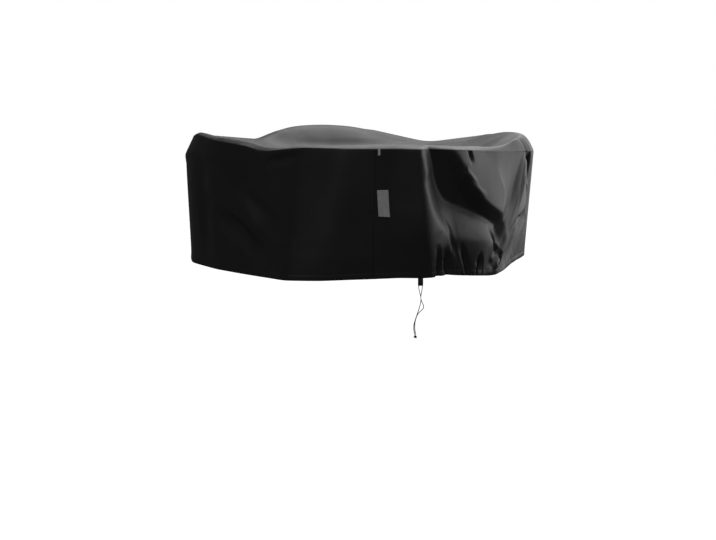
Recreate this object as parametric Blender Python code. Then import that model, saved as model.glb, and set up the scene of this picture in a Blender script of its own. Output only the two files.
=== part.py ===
"""Fitted patio furniture cover of coated polyester, in its hanging shape.

The cover is a top panel and a side wall of two halves, sewn to each other at a front and a back seam and to the
top panel all the way round. Four raised places round the top panel hold it up, and it dips to a flat middle between
them. The wall hangs to a hem with a drawcord in it, whose two ends leave the hem through a cord lock.

Metres, +Z up. The front seam faces -Y. The origin is the middle of the top panel's underside, where it lies flat.
"""

import math
from collections import namedtuple

import bmesh
import bpy
import numpy as np
from mathutils import Matrix, Vector

for old in list(bpy.data.objects):
    bpy.data.objects.remove(old, do_unlink=True)

CLOTH = 0.002  # thickness of the coated cloth
GAP = 0.0004  # between pieces that are sewn or set together
FLAT_SHARE = 0.60  # the flat middle of the top panel, as a share of the way out to its crest
CREST_SHAPE = 0.65  # how far the rise from the flat to the crest is an S, and the rest a straight slope
MITRE_DROP = 0.6  # how far the inner edge of a mitred seam lies below the outer one, in cloth thicknesses
SEAM_ROUNDING = 0.030  # how softly the top seam turns its corners
HEM_ROUNDING = 0.025
CREST_ROUNDING = 0.050

DEEP_FOLDS = (0.12, 1.16)  # the stretch of the seam, from the front seam, under which the wall is folded most
DEEP_STEP, PLAIN_STEP = 0.020, 0.048
WALL_ROWS = 16
TOP_RINGS = (0.50, 0.62, 0.71, 0.80, 0.90, 1.0, 1.2, 1.45, 1.7, 2.0)  # 1 is the crest and 2 the seam
SHARP = 0.30  # folds with a crest up to this have the mesh's edges run along their lines
REACH = 0.45  # how far a point of the mesh is moved onto such a line, as a share of a step of the mesh

# The plan of the cover, a row for each place round it, counterclockwise from above and straight between places:
# the top seam, the hem, and the crest that the top panel rises to inside the seam.
Place = namedtuple("Place", "name seam_x seam_y seam_z hem_x hem_y hem_z crest_inset crest_z shoulder")
PLACES = [
    Place("front seam", -0.100, -0.722, 0.084, -0.092, -0.687, -0.425, 0.075, 0.100, 2.0),
    Place("front middle", 0.010, -0.720, 0.083, 0.010, -0.684, -0.425, 0.080, 0.102, 2.0),
    Place("front right corner", 0.086, -0.7065, 0.0805, 0.108, -0.672, -0.429, 0.070, 0.094, 2.0),
    Place("pleat", 0.205, -0.630, 0.073, 0.225, -0.615, -0.430, 0.040, 0.084, 2.0),
    Place("pocket", 0.302, -0.554, 0.065, 0.318, -0.580, -0.441, 0.030, 0.074, 2.0),
    Place("bulge", 0.464, -0.410, 0.050, 0.426, -0.536, -0.452, 0.030, 0.060, 2.0),
    Place("gathered corner", 0.600, -0.290, 0.037, 0.505, -0.450, -0.454, 0.040, 0.066, 2.0),
    Place("right ear, near", 0.704, -0.195, 0.029, 0.603, -0.303, -0.437, 0.060, 0.088, 2.5),
    Place("right ear", 0.798, -0.040, 0.022, 0.748, -0.080, -0.435, 0.095, 0.106, 3.0),
    Place("right ear, far", 0.780, 0.120, 0.030, 0.740, 0.120, -0.435, 0.085, 0.103, 3.0),
    Place("back right, near", 0.700, 0.270, 0.036, 0.690, 0.270, -0.432, 0.050, 0.078, 2.0),
    Place("back right", 0.480, 0.500, 0.028, 0.500, 0.520, -0.430, 0.030, 0.034, 2.0),
    Place("back right, far", 0.290, 0.700, 0.054, 0.290, 0.680, -0.430, 0.050, 0.078, 2.0),
    Place("back right end", 0.130, 0.780, 0.078, 0.130, 0.730, -0.430, 0.080, 0.109, 2.0),
    Place("back seam", -0.020, 0.800, 0.080, 0.000, 0.745, -0.430, 0.085, 0.117, 2.0),
    Place("back left end", -0.180, 0.775, 0.078, -0.150, 0.725, -0.430, 0.080, 0.112, 2.0),
    Place("back left, far", -0.310, 0.700, 0.050, -0.300, 0.680, -0.430, 0.050, 0.077, 2.0),
    Place("back left fold", -0.360, 0.641, 0.040, -0.362, 0.633, -0.430, 0.040, 0.054, 2.0),
    Place("back left", -0.480, 0.500, 0.048, -0.510, 0.520, -0.430, 0.030, 0.068, 2.0),
    Place("back left, near", -0.680, 0.290, 0.052, -0.680, 0.280, -0.433, 0.045, 0.094, 2.0),
    Place("left ear, far", -0.702, 0.135, 0.100, -0.722, 0.130, -0.435, 0.030, 0.116, 1.7),
    Place("left ear", -0.694, -0.010, 0.111, -0.729, 0.000, -0.435, 0.030, 0.115, 1.7),
    Place("left ear, near", -0.656, -0.186, 0.096, -0.655, -0.215, -0.435, 0.035, 0.105, 1.7),
    Place("front left, near", -0.535, -0.369, 0.079, -0.570, -0.374, -0.434, 0.034, 0.085, 2.0),
    Place("front left", -0.496, -0.419, 0.059, -0.546, -0.421, -0.433, 0.030, 0.066, 2.0),
    Place("front left corner", -0.365, -0.590, 0.086, -0.440, -0.630, -0.428, 0.030, 0.090, 2.0),
    Place("front left end", -0.225, -0.715, 0.086, -0.300, -0.680, -0.426, 0.060, 0.095, 2.0),
]

# Folds of the side wall, a row each. A fold runs along a line of points (metres round the seam from the front seam,
# metres down from it, metres that the cloth stands out, or in if negative). Its two sides reach a distance to the
# left and to the right of the line as seen from outside, and crest is 0 for a sharp line and 1 for a soft one.
Fold = namedtuple("Fold", "name left right crest line")
WALL_FOLDS = [
    Fold("front right corner", 0.110, 0.130, 0.06,
         [(0.184, 0.00, 0.012, 1.0, 0.5), (0.177, 0.06, 0.020, 1.0, 0.8), (0.176, 0.13, 0.028, 1.0, 1.0),
          (0.180, 0.20, 0.036, 1.0, 1.1), (0.180, 0.27, 0.044, 1.0, 1.3), (0.184, 0.34, 0.044, 1.0, 1.3),
          (0.202, 0.40, 0.034, 1.0, 1.2), (0.214, 0.46, 0.024, 1.0, 0.8), (0.222, 0.50, 0.016, 1.0, 0.6)]),
    Fold("pocket", 0.150, 0.156, 0.06,
         [(0.262, 0.000, -0.026, 0.55, 0.25), (0.300, 0.060, -0.045, 0.75, 0.70),
          (0.322, 0.118, -0.055, 0.90, 0.90),
          (0.354, 0.168, -0.060, 1.00, 0.94), (0.396, 0.204, -0.062, 1.00, 0.90),
          (0.436, 0.216, -0.062, 0.95, 0.78),
          (0.534, 0.240, -0.048, 0.85, 0.46), (0.634, 0.270, -0.029, 0.70, 0.34),
          (0.740, 0.305, -0.021, 0.50, 0.32),
          (0.790, 0.332, -0.021, 0.45, 0.36), (0.812, 0.357, -0.014, 0.40, 0.36)]),
    Fold("edge over the pocket", 0.050, 0.180, 0.25,
         [(0.342, 0.000, 0.002), (0.404, 0.017, 0.006), (0.432, 0.044, 0.010), (0.456, 0.084, 0.012),
          (0.490, 0.118, 0.013), (0.526, 0.152, 0.014), (0.584, 0.187, 0.014), (0.656, 0.219, 0.013),
          (0.730, 0.238, 0.012), (0.812, 0.257, 0.008)]),
    Fold("hollow before the ear", 0.270, 0.030, 0.20,
         [(1.020, 0.000, -0.014, 1.00, 1.0), (1.000, 0.072, -0.018, 1.00, 1.0),
          (0.970, 0.159, -0.020, 0.90, 1.0),
          (0.938, 0.229, -0.020, 0.65, 1.0), (0.892, 0.292, -0.019, 0.40, 1.0),
          (0.852, 0.355, -0.018, 0.32, 1.0),
          (0.790, 0.420, -0.014, 0.30, 1.0), (0.680, 0.466, -0.010, 0.30, 1.0),
          (0.608, 0.500, -0.005, 0.30, 1.0)]),
    Fold("strap of the ear", 0.040, 0.050, 0.30,
         [(1.020, 0.020, 0.004), (1.012, 0.056, 0.010), (0.978, 0.150, 0.016), (0.940, 0.243, 0.019),
          (0.872, 0.322, 0.019), (0.820, 0.402, 0.017), (0.742, 0.464, 0.012), (0.690, 0.503, 0.006)]),
    Fold("slot under the ear", 0.026, 0.028, 0.30,
         [(1.036, 0.004, -0.008), (1.072, 0.034, -0.021), (1.084, 0.075, -0.021), (1.084, 0.115, -0.008)]),
    Fold("crease from the ear", 0.020, 0.045, 0.08,
         [(1.085, 0.04, -0.008), (1.102, 0.09, -0.011), (1.115, 0.20, -0.011), (1.088, 0.27, -0.012),
          (1.000, 0.309, -0.017), (0.955, 0.372, -0.016), (0.900, 0.444, -0.012), (0.820, 0.51, -0.006)]),
    Fold("shoulder of the left ear", 0.420, 0.090, 0.10,
         [(-1.340, 0.085, 0.000), (-1.250, 0.088, 0.016), (-1.150, 0.088, 0.030), (-1.010, 0.083, 0.029),
          (-0.900, 0.075, 0.017), (-0.810, 0.060, 0.003)]),
    Fold("point of the left ear", 0.040, 0.070, 0.15,
         [(-1.300, 0.078, 0.000), (-1.200, 0.078, 0.004), (-1.080, 0.078, 0.005), (-0.960, 0.070, 0.001)]),
    Fold("balloon over the gathers", 0.240, 0.120, 0.70,
         [(0.352, 0.232, 0.000), (0.406, 0.266, 0.008), (0.466, 0.304, 0.015), (0.554, 0.349, 0.019),
          (0.630, 0.396, 0.017), (0.692, 0.454, 0.008)]),
    Fold("first gather", 0.022, 0.022, 0.25,
         [(0.244, 0.377, 0.000), (0.262, 0.420, -0.012), (0.268, 0.464, -0.016), (0.264, 0.510, -0.014)]),
    Fold("second gather", 0.026, 0.030, 0.25,
         [(0.300, 0.390, 0.000), (0.322, 0.440, -0.014), (0.330, 0.480, -0.018), (0.334, 0.510, -0.014)]),
    Fold("third gather", 0.028, 0.020, 0.25,
         [(0.400, 0.372, 0.000), (0.428, 0.418, -0.013), (0.446, 0.459, -0.015), (0.460, 0.507, -0.011)]),
    Fold("fourth gather", 0.040, 0.034, 0.25,
         [(0.530, 0.425, 0.000), (0.560, 0.462, -0.020), (0.552, 0.507, -0.018)]),
    Fold("fifth gather", 0.030, 0.026, 0.30,
         [(0.660, 0.310, 0.000), (0.724, 0.373, -0.016), (0.788, 0.435, -0.016), (0.830, 0.485, -0.010)]),
    Fold("sixth gather", 0.026, 0.024, 0.30,
         [(0.655, 0.440, 0.000), (0.704, 0.479, -0.012), (0.690, 0.512, -0.012)]),
    Fold("left slanting hollow", 0.060, 0.055, 0.40,
         [(-0.958, 0.215, -0.004), (-0.838, 0.276, -0.012), (-0.746, 0.314, -0.015), (-0.570, 0.365, -0.015),
          (-0.468, 0.415, -0.011), (-0.390, 0.477, -0.004)]),
    Fold("left slanting ridge", 0.060, 0.070, 0.50,
         [(-0.814, 0.170, 0.005), (-0.716, 0.223, 0.010), (-0.576, 0.274, 0.011), (-0.448, 0.339, 0.008),
          (-0.342, 0.403, 0.003)]),
    Fold("second left hollow", 0.050, 0.045, 0.40,
         [(-0.552, 0.200, -0.004), (-0.466, 0.261, -0.009), (-0.364, 0.326, -0.004)]),
    Fold("left upright hollow", 0.050, 0.055, 0.40,
         [(-0.905, 0.120, -0.002), (-0.900, 0.260, -0.005), (-0.885, 0.360, -0.008),
          (-0.880, 0.440, -0.003)]),
    Fold("dent under the front left corner", 0.035, 0.026, 0.30,
         [(-0.470, 0.044, -0.006), (-0.446, 0.037, -0.010), (-0.360, 0.034, -0.009),
          (-0.330, 0.030, -0.004)]),
    Fold("belly of the front", 0.140, 0.150, 0.80, [(-0.210, 0.12, 0.003), (-0.200, 0.42, 0.009)]),
    Fold("hollow of the front", 0.100, 0.060, 0.60,
         [(0.080, 0.05, -0.003), (0.110, 0.30, -0.007), (0.120, 0.45, -0.003)]),
    Fold("back right hollow", 0.150, 0.120, 0.35,
         [(1.560, 0.02, -0.010), (1.650, 0.20, -0.030), (1.800, 0.36, -0.032), (1.900, 0.48, -0.012)]),
    Fold("back right ridge", 0.080, 0.090, 0.40,
         [(1.950, 0.03, 0.006), (1.900, 0.22, 0.016), (1.790, 0.44, 0.012)]),
    Fold("back left hollow", 0.110, 0.140, 0.35,
         [(3.200, 0.02, -0.008), (3.110, 0.20, -0.026), (2.980, 0.36, -0.026), (2.900, 0.48, -0.010)]),
    Fold("back left ridge", 0.080, 0.080, 0.40,
         [(2.830, 0.03, 0.006), (2.880, 0.22, 0.014), (2.990, 0.46, 0.010)]),
    Fold("belly of the back", 0.160, 0.160, 0.80, [(2.400, 0.10, 0.004), (2.420, 0.40, 0.010)]),
]

# Folds of the top panel, as lines of points (x, y, metres up, or down if negative).
TOP_FOLDS = [
    Fold("valley to the right crest", 0.045, 0.035, 0.40,
         [(0.440, -0.380, -0.004), (0.580, -0.250, -0.010), (0.690, -0.080, -0.005)]),
    Fold("taut line, front right", 0.050, 0.050, 0.30,
         [(0.160, -0.600, 0.003), (0.400, -0.410, 0.009), (0.640, -0.200, 0.005)]),
    Fold("taut line, back right", 0.050, 0.050, 0.30,
         [(0.650, 0.230, 0.004), (0.440, 0.440, 0.008), (0.230, 0.650, 0.004)]),
    Fold("taut line, back left", 0.050, 0.050, 0.30,
         [(-0.240, 0.640, 0.004), (-0.430, 0.440, 0.008), (-0.630, 0.230, 0.004)]),
    Fold("taut line, front left", 0.050, 0.050, 0.30,
         [(-0.600, -0.200, 0.004), (-0.450, -0.380, 0.008), (-0.220, -0.600, 0.004)]),
    Fold("crease inside the front crest", 0.040, 0.050, 0.40,
         [(-0.220, -0.590, -0.002), (0.000, -0.585, -0.008), (0.160, -0.560, -0.002)]),
]
FOLD_STEPS = 10  # straight pieces between two points of a fold's line
FOOT = 0.05  # how softly a fold runs out, as a share of its height

# The free ends of the drawcord and what is on them. Points are in the lock's own directions, from the middle of its
# top: metres across, metres outwards, metres down.
CORD_DIAMETER = 0.003
LOCK_ROUND = 0.178  # the place round the seam below which the lock hangs
LOCK_INSET = 0.006  # the lock's middle, in from the cloth's face
LOCK_TURN = math.radians(-13)
LOCK_SIZE = (0.021, 0.011, 0.030)  # across, front to back, tall
LOCK_EDGE = 0.0025  # how far its ends are rounded
LOCK_HOLE_AT = 0.007
LOCK_HOLE = 0.0039
BUTTON_RADIUS, BUTTON_OUT, BUTTON_IN = 0.0042, 0.0018, 0.0035
LEFT_END = [
    (-0.0070, 0, -0.014), (-0.0070, 0, 0.000), (-0.0070, 0, 0.015), (-0.0070, 0, 0.031), (-0.0055, 0, 0.048),
    (-0.0015, 0, 0.063), (0.0015, 0, 0.076), (0.0018, 0, 0.090), (-0.0010, 0, 0.106), (-0.0055, 0, 0.123),
    (-0.0110, 0, 0.140), (-0.0165, 0, 0.157), (-0.0220, 0, 0.174), (-0.0255, 0, 0.190), (-0.0255, 0, 0.206),
    (-0.0235, 0, 0.218), (-0.0215, 0, 0.228),
]
RIGHT_END = [
    (0.0070, 0, -0.014), (0.0070, 0, 0.000), (0.0070, 0, 0.015), (0.0070, 0, 0.031), (0.0060, -0.0025, 0.048),
    (0.0035, -0.0045, 0.063), (0.0018, -0.0048, 0.077), (0.0040, -0.0048, 0.091), (0.0090, -0.0045, 0.102),
    (0.0130, -0.0045, 0.113), (0.0110, -0.0045, 0.123), (0.0035, -0.0048, 0.131), (-0.0050, -0.0048, 0.139),
    (-0.0120, -0.0048, 0.149), (-0.0175, -0.0048, 0.164), (-0.0212, -0.0047, 0.182),
          (-0.0217, -0.0046, 0.202),
    (-0.0198, -0.0044, 0.217), (-0.0175, -0.0042, 0.228),
]
CORD_POINTS = 44  # points of each cord's tube
KNOT_SIZE = (0.0068, 0.0062, 0.0066)  # half sizes, across, front to back, tall
KNOT_AT = (-0.0195, -0.0021, 0.228 + 0.0066 + GAP)
KNOT_RIDGE = 0.10

# The label and the loop, sewn in beside the front seam: metres round the seam and metres down from it.
LABEL_CORNERS = ((0.008, 0.160), (0.052, 0.159), (0.061, 0.266), (0.015, 0.263))
LABEL_THICK = 0.001
LABEL_LIFT = 0.0025  # how far its free edge stands off the cloth
LOOP_ROUND = (0.010, 0.018)
LOOP_TAPE = 0.0008
LOOP_LONG = 0.024


def soften(values, spacing, width):
    """Numbers that go round in a loop, blurred by a bell curve of the given width."""
    waves = np.fft.rfftfreq(len(values), spacing)
    keep = np.exp(-2 * (math.pi * waves * width) ** 2)
    return np.fft.irfft(np.fft.rfft(values, axis=0) * keep[:, None], len(values), axis=0)


def plan_round_the_cover(samples=2880):
    """The table of places as smooth numbers round the seam: the length of the seam, the places at which they are
    worked out, and the numbers there."""
    table = np.array([place[1:] for place in PLACES + PLACES[:1]])
    corners = np.concatenate([[0], np.cumsum(np.linalg.norm(np.diff(table[:, :3], axis=0), axis=1))])
    length = corners[-1]
    at = np.arange(samples) * length / samples
    straight = np.stack([np.interp(at, corners, column) for column in table.T], axis=1)
    widths = [(slice(0, 3), SEAM_ROUNDING), (slice(3, 6), HEM_ROUNDING), (slice(6, 9), CREST_ROUNDING)]
    smooth = [soften(straight[:, columns], length / samples, width) for columns, width in widths]
    return length, at, np.concatenate(smooth, axis=1)


ROUND, PLAN_AT, PLAN = plan_round_the_cover()
BACK_SEAM = next(
    sum(math.dist(a[1:4], b[1:4]) for a, b in zip(PLACES[:n], PLACES[1:]))
    for n, place in enumerate(PLACES)
    if place.name == "back seam"
)


def plan(along):
    """Top seam, hem, and the crest's inset, height and shoulder at places round the seam."""
    numbers = np.stack([np.interp(along, PLAN_AT, column, period=ROUND) for column in PLAN.T], axis=-1)
    return numbers[..., 0:3], numbers[..., 3:6], numbers[..., 6:9]


def smooth_line(points, steps=FOLD_STEPS):
    """The points of a curve that runs through the given ones (Catmull-Rom)."""
    points = np.array(points, float)
    padded = np.vstack([2 * points[0] - points[1], points, 2 * points[-1] - points[-2]])
    share = np.arange(steps)[:, None] / steps
    pieces = []
    for a, b, c, d in zip(padded, padded[1:], padded[2:], padded[3:]):
        bend = (2 * a - 5 * b + 4 * c - d) + share * (3 * b - a - 3 * c + d)
        pieces.append(b + share * ((c - a) + share * bend) / 2)
    return np.vstack(pieces + [points[-1:]])


def fold_height(fold, u, v):
    """How far a fold lifts the points (u, v): its height along its line times a roof-shaped section, which is 1 on
    the line, falls in straight sides to 0 at the fold's reach, and is rounded at the crest and at the foot."""
    line = smooth_line([point + (1.0, 1.0)[: 5 - len(point)] for point in fold.line])
    flat = np.stack([u.ravel(), v.ravel()], axis=1)
    nearest = np.full(len(flat), np.inf)
    lifted, reach = np.zeros((2, len(flat)))
    for start, end in zip(line, line[1:]):
        step = end[:2] - start[:2]
        share = np.clip((flat - start[:2]) @ step / max(step @ step, 1e-12), 0, 1)
        off = flat - start[:2] - share[:, None] * step
        far = np.hypot(off[:, 0], off[:, 1])
        side = (step[1] * off[:, 0] - step[0] * off[:, 1]) / np.maximum(far * math.hypot(*step), 1e-12)
        closer = far < nearest
        nearest = np.where(closer, far, nearest)
        left = fold.left * (start[3] + share * (end[3] - start[3]))
        right = fold.right * (start[4] + share * (end[4] - start[4]))
        reach = np.where(closer, (right + left) / 2 + (right - left) / 2 * side, reach)
        lifted = np.where(closer, start[2] + share * (end[2] - start[2]), lifted)
    nearest = nearest / reach
    rounded = np.sqrt(nearest**2 + fold.crest**2) - fold.crest
    section = 1 - rounded / (math.sqrt(1 + fold.crest**2) - fold.crest)
    section = FOOT * np.logaddexp(0, section / FOOT) / (FOOT * np.logaddexp(0, 1 / FOOT))
    return (lifted * section).reshape(u.shape)


def wall_folds(along, down):
    """How far all of the wall's folds lift places on it. Places count from -half to +half of the seam's length for
    the front, so a fold near the front seam reaches across it."""
    total = np.zeros(np.shape(along))
    for fold in WALL_FOLDS:
        middle = fold.line[0][0]
        near = middle + (along - middle + ROUND / 2) % ROUND - ROUND / 2
        total += fold_height(fold, near, down)
    return total


def flat_wall(along, share):
    """The wall without its folds, straight from the seam to the hem."""
    seam, hem, _ = plan(along)
    return seam + (hem - seam) * share[..., None]


def wall(along, share):
    """The wall's outer face, from the seam at share 0 to the hem at share 1."""
    seam, hem, _ = plan(along)
    down = share * np.linalg.norm(hem - seam, axis=-1)
    step = 0.002
    onwards = flat_wall(along + step, share) - flat_wall(along - step, share)
    outward = np.cross(hem - seam, onwards)
    outward /= np.linalg.norm(outward, axis=-1, keepdims=True)
    return flat_wall(along, share) + outward * wall_folds(along, down)[..., None]


def seam_outward(along):
    """The level direction out from the top seam."""
    step = 0.004
    onwards = wall(along + step, np.zeros_like(along)) - wall(along - step, np.zeros_like(along))
    outward = np.stack([onwards[..., 1], -onwards[..., 0], np.zeros_like(along)], axis=-1)
    return outward / np.linalg.norm(outward, axis=-1, keepdims=True)


def top(along, ring):
    """The top panel's upper face: ring 0 is its middle, 1 its crest and 2 the seam. The cloth is flat in the
    middle, rises in an S to the crest, and falls in a parabola from the crest to the seam."""
    seam, _, numbers = plan(along)
    inset, crest, shoulder = numbers[..., 0], numbers[..., 1], numbers[..., 2]
    out = np.hypot(seam[..., 0], seam[..., 1])
    crest_point = seam[..., :2] * (1 - inset / out)[..., None]
    edge = wall(along, np.zeros_like(along))
    rise = np.clip((ring - FLAT_SHARE) / (1 - FLAT_SHARE), 0, 1)
    rise = (1 - CREST_SHAPE) * rise + CREST_SHAPE * rise * rise * (3 - 2 * rise)
    fall = np.clip(ring - 1, 0, 1)
    level = crest_point * np.minimum(ring, 1)[..., None] + (edge[..., :2] - crest_point) * fall[..., None]
    height = CLOTH + (crest - CLOTH) * rise + (edge[..., 2] - crest) * fall**shoulder
    folds = sum(fold_height(fold, level[..., 0], level[..., 1]) for fold in TOP_FOLDS)
    height = height + folds * np.minimum(rise * 4, 1) * (1 - fall)
    return np.concatenate([level, height[..., None]], axis=-1)


def normals(points, wrap):
    """The unit normal of a grid of points, towards the outside of the cover."""
    if wrap:
        across = np.roll(points, -1, axis=0) - np.roll(points, 1, axis=0)
    else:
        across = np.gradient(points, axis=0)
    out = np.cross(np.gradient(points, axis=1), across)
    return out / np.linalg.norm(out, axis=-1, keepdims=True)


def on_wall(along, down):
    """Points on the wall's outer face and the directions out from it, for places given in metres down."""
    seam, hem, _ = plan(along)
    share = down / np.linalg.norm(hem - seam, axis=-1)
    step = 0.001
    onwards = wall(along + step, share) - wall(along - step, share)
    downwards = wall(along, share + step) - wall(along, share - step)
    out = np.cross(downwards, onwards)
    return wall(along, share), out / np.linalg.norm(out, axis=-1, keepdims=True)


def columns(start, end):
    """Places round the seam from start to end, closer together over the deep folds."""
    cuts = sorted({start, end, *(cut for cut in DEEP_FOLDS if start < cut < end)})
    places = [np.array([start])]
    for a, b in zip(cuts, cuts[1:]):
        step = DEEP_STEP if DEEP_FOLDS[0] < (a + b) / 2 < DEEP_FOLDS[1] else PLAIN_STEP
        places.append(np.linspace(a, b, math.ceil((b - a) / step) + 1)[1:])
    return np.concatenate(places)


def material(name, colour, roughness, metallic=0.0):
    made = bpy.data.materials.new(name)
    made.use_nodes = True
    shader = made.node_tree.nodes["Principled BSDF"]
    shader.inputs["Base Color"].default_value = (*colour, 1.0)
    shader.inputs["Roughness"].default_value = roughness
    shader.inputs["Metallic"].default_value = metallic
    return made


COVER_CLOTH = material("coated polyester", (0.012, 0.012, 0.013), 0.45)
LABEL_CLOTH = material("label satin", (0.42, 0.43, 0.42), 0.55)
LIGHT_TAPE = material("light tape", (0.55, 0.55, 0.54), 0.70)
BLACK_PLASTIC = material("black plastic", (0.015, 0.015, 0.016), 0.35)
BLACK_CORD = material("black cord", (0.020, 0.020, 0.021), 0.80)


def add(name, mesh, look):
    """An object of its own for a mesh, with its faces pointing out."""
    shape = bmesh.new()
    shape.from_mesh(mesh)
    bmesh.ops.recalc_face_normals(shape, faces=shape.faces)
    shape.to_mesh(mesh)
    shape.free()
    mesh.materials.append(look)
    mesh.shade_smooth()
    made = bpy.data.objects.new(name, mesh)
    bpy.context.scene.collection.objects.link(made)
    return made


def sheet(name, outer, inner, look, wrap=False, middles=None):
    """A closed sheet between two grids of points. Its four edges are closed with faces, or with wrap the grid goes
    round, its last row is closed and each skin has one flat face inside its first row. Each four-sided field of
    both skins is split along the same diagonal, the one whose middle is nearer to the point in middles."""
    wide, tall = outer.shape[:2]
    number = np.arange(2 * wide * tall).reshape(2, wide, tall)
    if wrap:
        number = np.concatenate([number, number[:, :1]], axis=1)
    points = np.concatenate([outer, inner]).reshape(-1, 3)
    a, b, c, d = (number[:, rows, steps] for rows, steps in (
        (slice(None, -1), slice(None, -1)), (slice(1, None), slice(None, -1)),
        (slice(1, None), slice(1, None)), (slice(None, -1), slice(1, None)),
    ))
    first = np.ones(a.shape[1:], bool)
    if middles is not None:
        off = [np.linalg.norm((points[p[0]] + points[q[0]]) / 2 - middles, axis=-1) for p, q in ((a, c), (b, d))]
        first = off[0] < off[1]
    halves = [np.where(first, [a, b, c], [a, b, d]), np.where(first, [a, c, d], [b, c, d])]
    halves = np.stack(halves).transpose(2, 0, 3, 4, 1)
    skins = [halves[0].reshape(-1, 3), halves[1][..., ::-1].reshape(-1, 3)]
    edges = [(number[0][:, -1], number[1][:, -1])]
    if not wrap:
        edges += [(number[0][::-1, 0], number[1][::-1, 0])]
        edges += [(number[0][0, :], number[1][0, :]), (number[0][-1, ::-1], number[1][-1, ::-1])]
    rims = [np.stack([p[:-1], q[:-1], q[1:], p[1:]], axis=-1) for p, q in edges]
    faces = [list(map(int, face)) for part in skins + rims for face in part]
    if wrap:
        faces += [[int(n) for n in number[0, :-1, 0]], [int(n) for n in number[1, :-1, 0]][::-1]]
    mesh = bpy.data.meshes.new(name)
    mesh.from_pydata(points.tolist(), [], faces)
    return add(name, mesh, look)


def mitred_inside(outer, along, wrap, seam_row):
    """The inner face of the cloth. At the top seam it lies in and down from the outer one, in the same direction on
    the wall and on the top panel, so that their edges meet in a mitre."""
    inner = outer - CLOTH * normals(outer, wrap)
    inner[:, seam_row] = outer[:, seam_row] - CLOTH * seam_outward(along) - [0, 0, MITRE_DROP * CLOTH]
    return inner


def onto_folds(along, down):
    """The grid's inner points near the line of a sharp fold, moved onto it, so that edges run along the fold."""
    step = np.array([DEEP_STEP, down[0, 1] - down[0, 0]])
    places = np.stack([along, down], axis=-1)
    moved = places.copy()
    nearest = np.full(along.shape, REACH)
    for fold in WALL_FOLDS:
        line = smooth_line(fold.line)[:, :2]
        if fold.crest > SHARP or not DEEP_FOLDS[0] < line[0, 0] < DEEP_FOLDS[1]:
            continue
        for start, end in zip(line, line[1:]):
            way = (end - start) / step
            share = np.clip(((places - start) / step) @ way / (way @ way), 0, 1)
            onto = start + share[..., None] * (end - start)
            off = np.linalg.norm((onto - places) / step, axis=-1)
            closer = off < nearest
            closer[:, [0, -1]] = closer[[0, -1]] = False
            nearest = np.where(closer, off, nearest)
            moved = np.where(closer[..., None], onto, moved)
    return moved[..., 0], moved[..., 1]


def wall_half(name, start, end):
    ends = columns(start, end)
    along = np.repeat(ends[:, None], WALL_ROWS + 1, axis=1)
    seam, hem, _ = plan(ends)
    drop = np.linalg.norm(hem - seam, axis=-1)[:, None]
    down = GAP + (drop - GAP) * np.linspace(0, 1, WALL_ROWS + 1)
    along, down = onto_folds(along, down)
    seam, hem, _ = plan(along)
    share = np.minimum(down / np.linalg.norm(hem - seam, axis=-1), 1)
    outer = wall(along, share)
    corners = [slice(None, -1), slice(1, None)]
    middle = [sum(grid[i, j] for i in corners for j in corners) / 4 for grid in (along, share)]
    inner = mitred_inside(outer, ends, False, 0)
    sides = [0, -1]  # both halves take the seam's own direction there, so that they don't cross inside it
    inner[sides, 1:] = outer[sides, 1:] - CLOTH * on_wall(along[sides, 1:], down[sides, 1:])[1]
    return sheet(name, outer, inner, COVER_CLOTH, middles=wall(*middle))


def top_panel():
    along = np.concatenate([columns(0.0, BACK_SEAM), columns(BACK_SEAM, ROUND)[1:-1]])
    grid, rings = np.meshgrid(along, TOP_RINGS, indexing="ij")
    outer = top(grid, rings)
    inner = mitred_inside(outer, along, True, -1)
    outer[:, 0, 2], inner[:, 0, 2] = CLOTH, 0.0
    return sheet("top_panel", outer, inner, COVER_CLOTH, wrap=True)


top_panel()
wall_half("skirt_right", GAP / 2, BACK_SEAM - GAP / 2)
wall_half("skirt_left", BACK_SEAM + GAP / 2, ROUND - GAP / 2)


def label():
    """A flat label, sewn down along its left edge and standing a little off the cloth at its right one."""
    a, b, c, d = (np.array(corner) for corner in LABEL_CORNERS)
    across, down = np.meshgrid(np.linspace(0, 1, 5), np.linspace(0, 1, 7), indexing="ij")
    upper, lower = a + (b - a) * across[..., None], d + (c - d) * across[..., None]
    place = upper + (lower - upper) * down[..., None]
    face, out = on_wall(place[..., 0], place[..., 1])
    lift = GAP + LABEL_LIFT * across**2
    inner = face + out * lift[..., None]
    return sheet("label", inner + out * LABEL_THICK, inner, LABEL_CLOTH)


def seam_loop():
    """A short tape, folded in two, that hangs from the top seam."""
    turn = np.linspace(math.pi, 2 * math.pi, 7)
    radius = 1.5 * LOOP_TAPE
    path = [(2 * radius, 0.0)]
    path += [(radius - radius * math.cos(a), LOOP_LONG - radius - radius * math.sin(a)) for a in turn[::-1]]
    path += [(0.0, 0.0)]
    path = np.array(path)
    ways = np.gradient(path, axis=0)
    side = np.stack([-ways[:, 1], ways[:, 0]], axis=1) / np.linalg.norm(ways, axis=1, keepdims=True)
    grids = []
    for edge in (path + side * LOOP_TAPE / 2, path - side * LOOP_TAPE / 2):
        along, out = np.meshgrid(LOOP_ROUND, edge[:, 0], indexing="ij")
        down = np.broadcast_to(edge[:, 1], out.shape)
        face, normal = on_wall(along, np.full_like(along, GAP) + down)
        grids.append(face + normal * (out + GAP + LOOP_TAPE / 2)[..., None])
    return sheet("seam_loop", grids[0], grids[1], LIGHT_TAPE)


label()
seam_loop()

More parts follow.
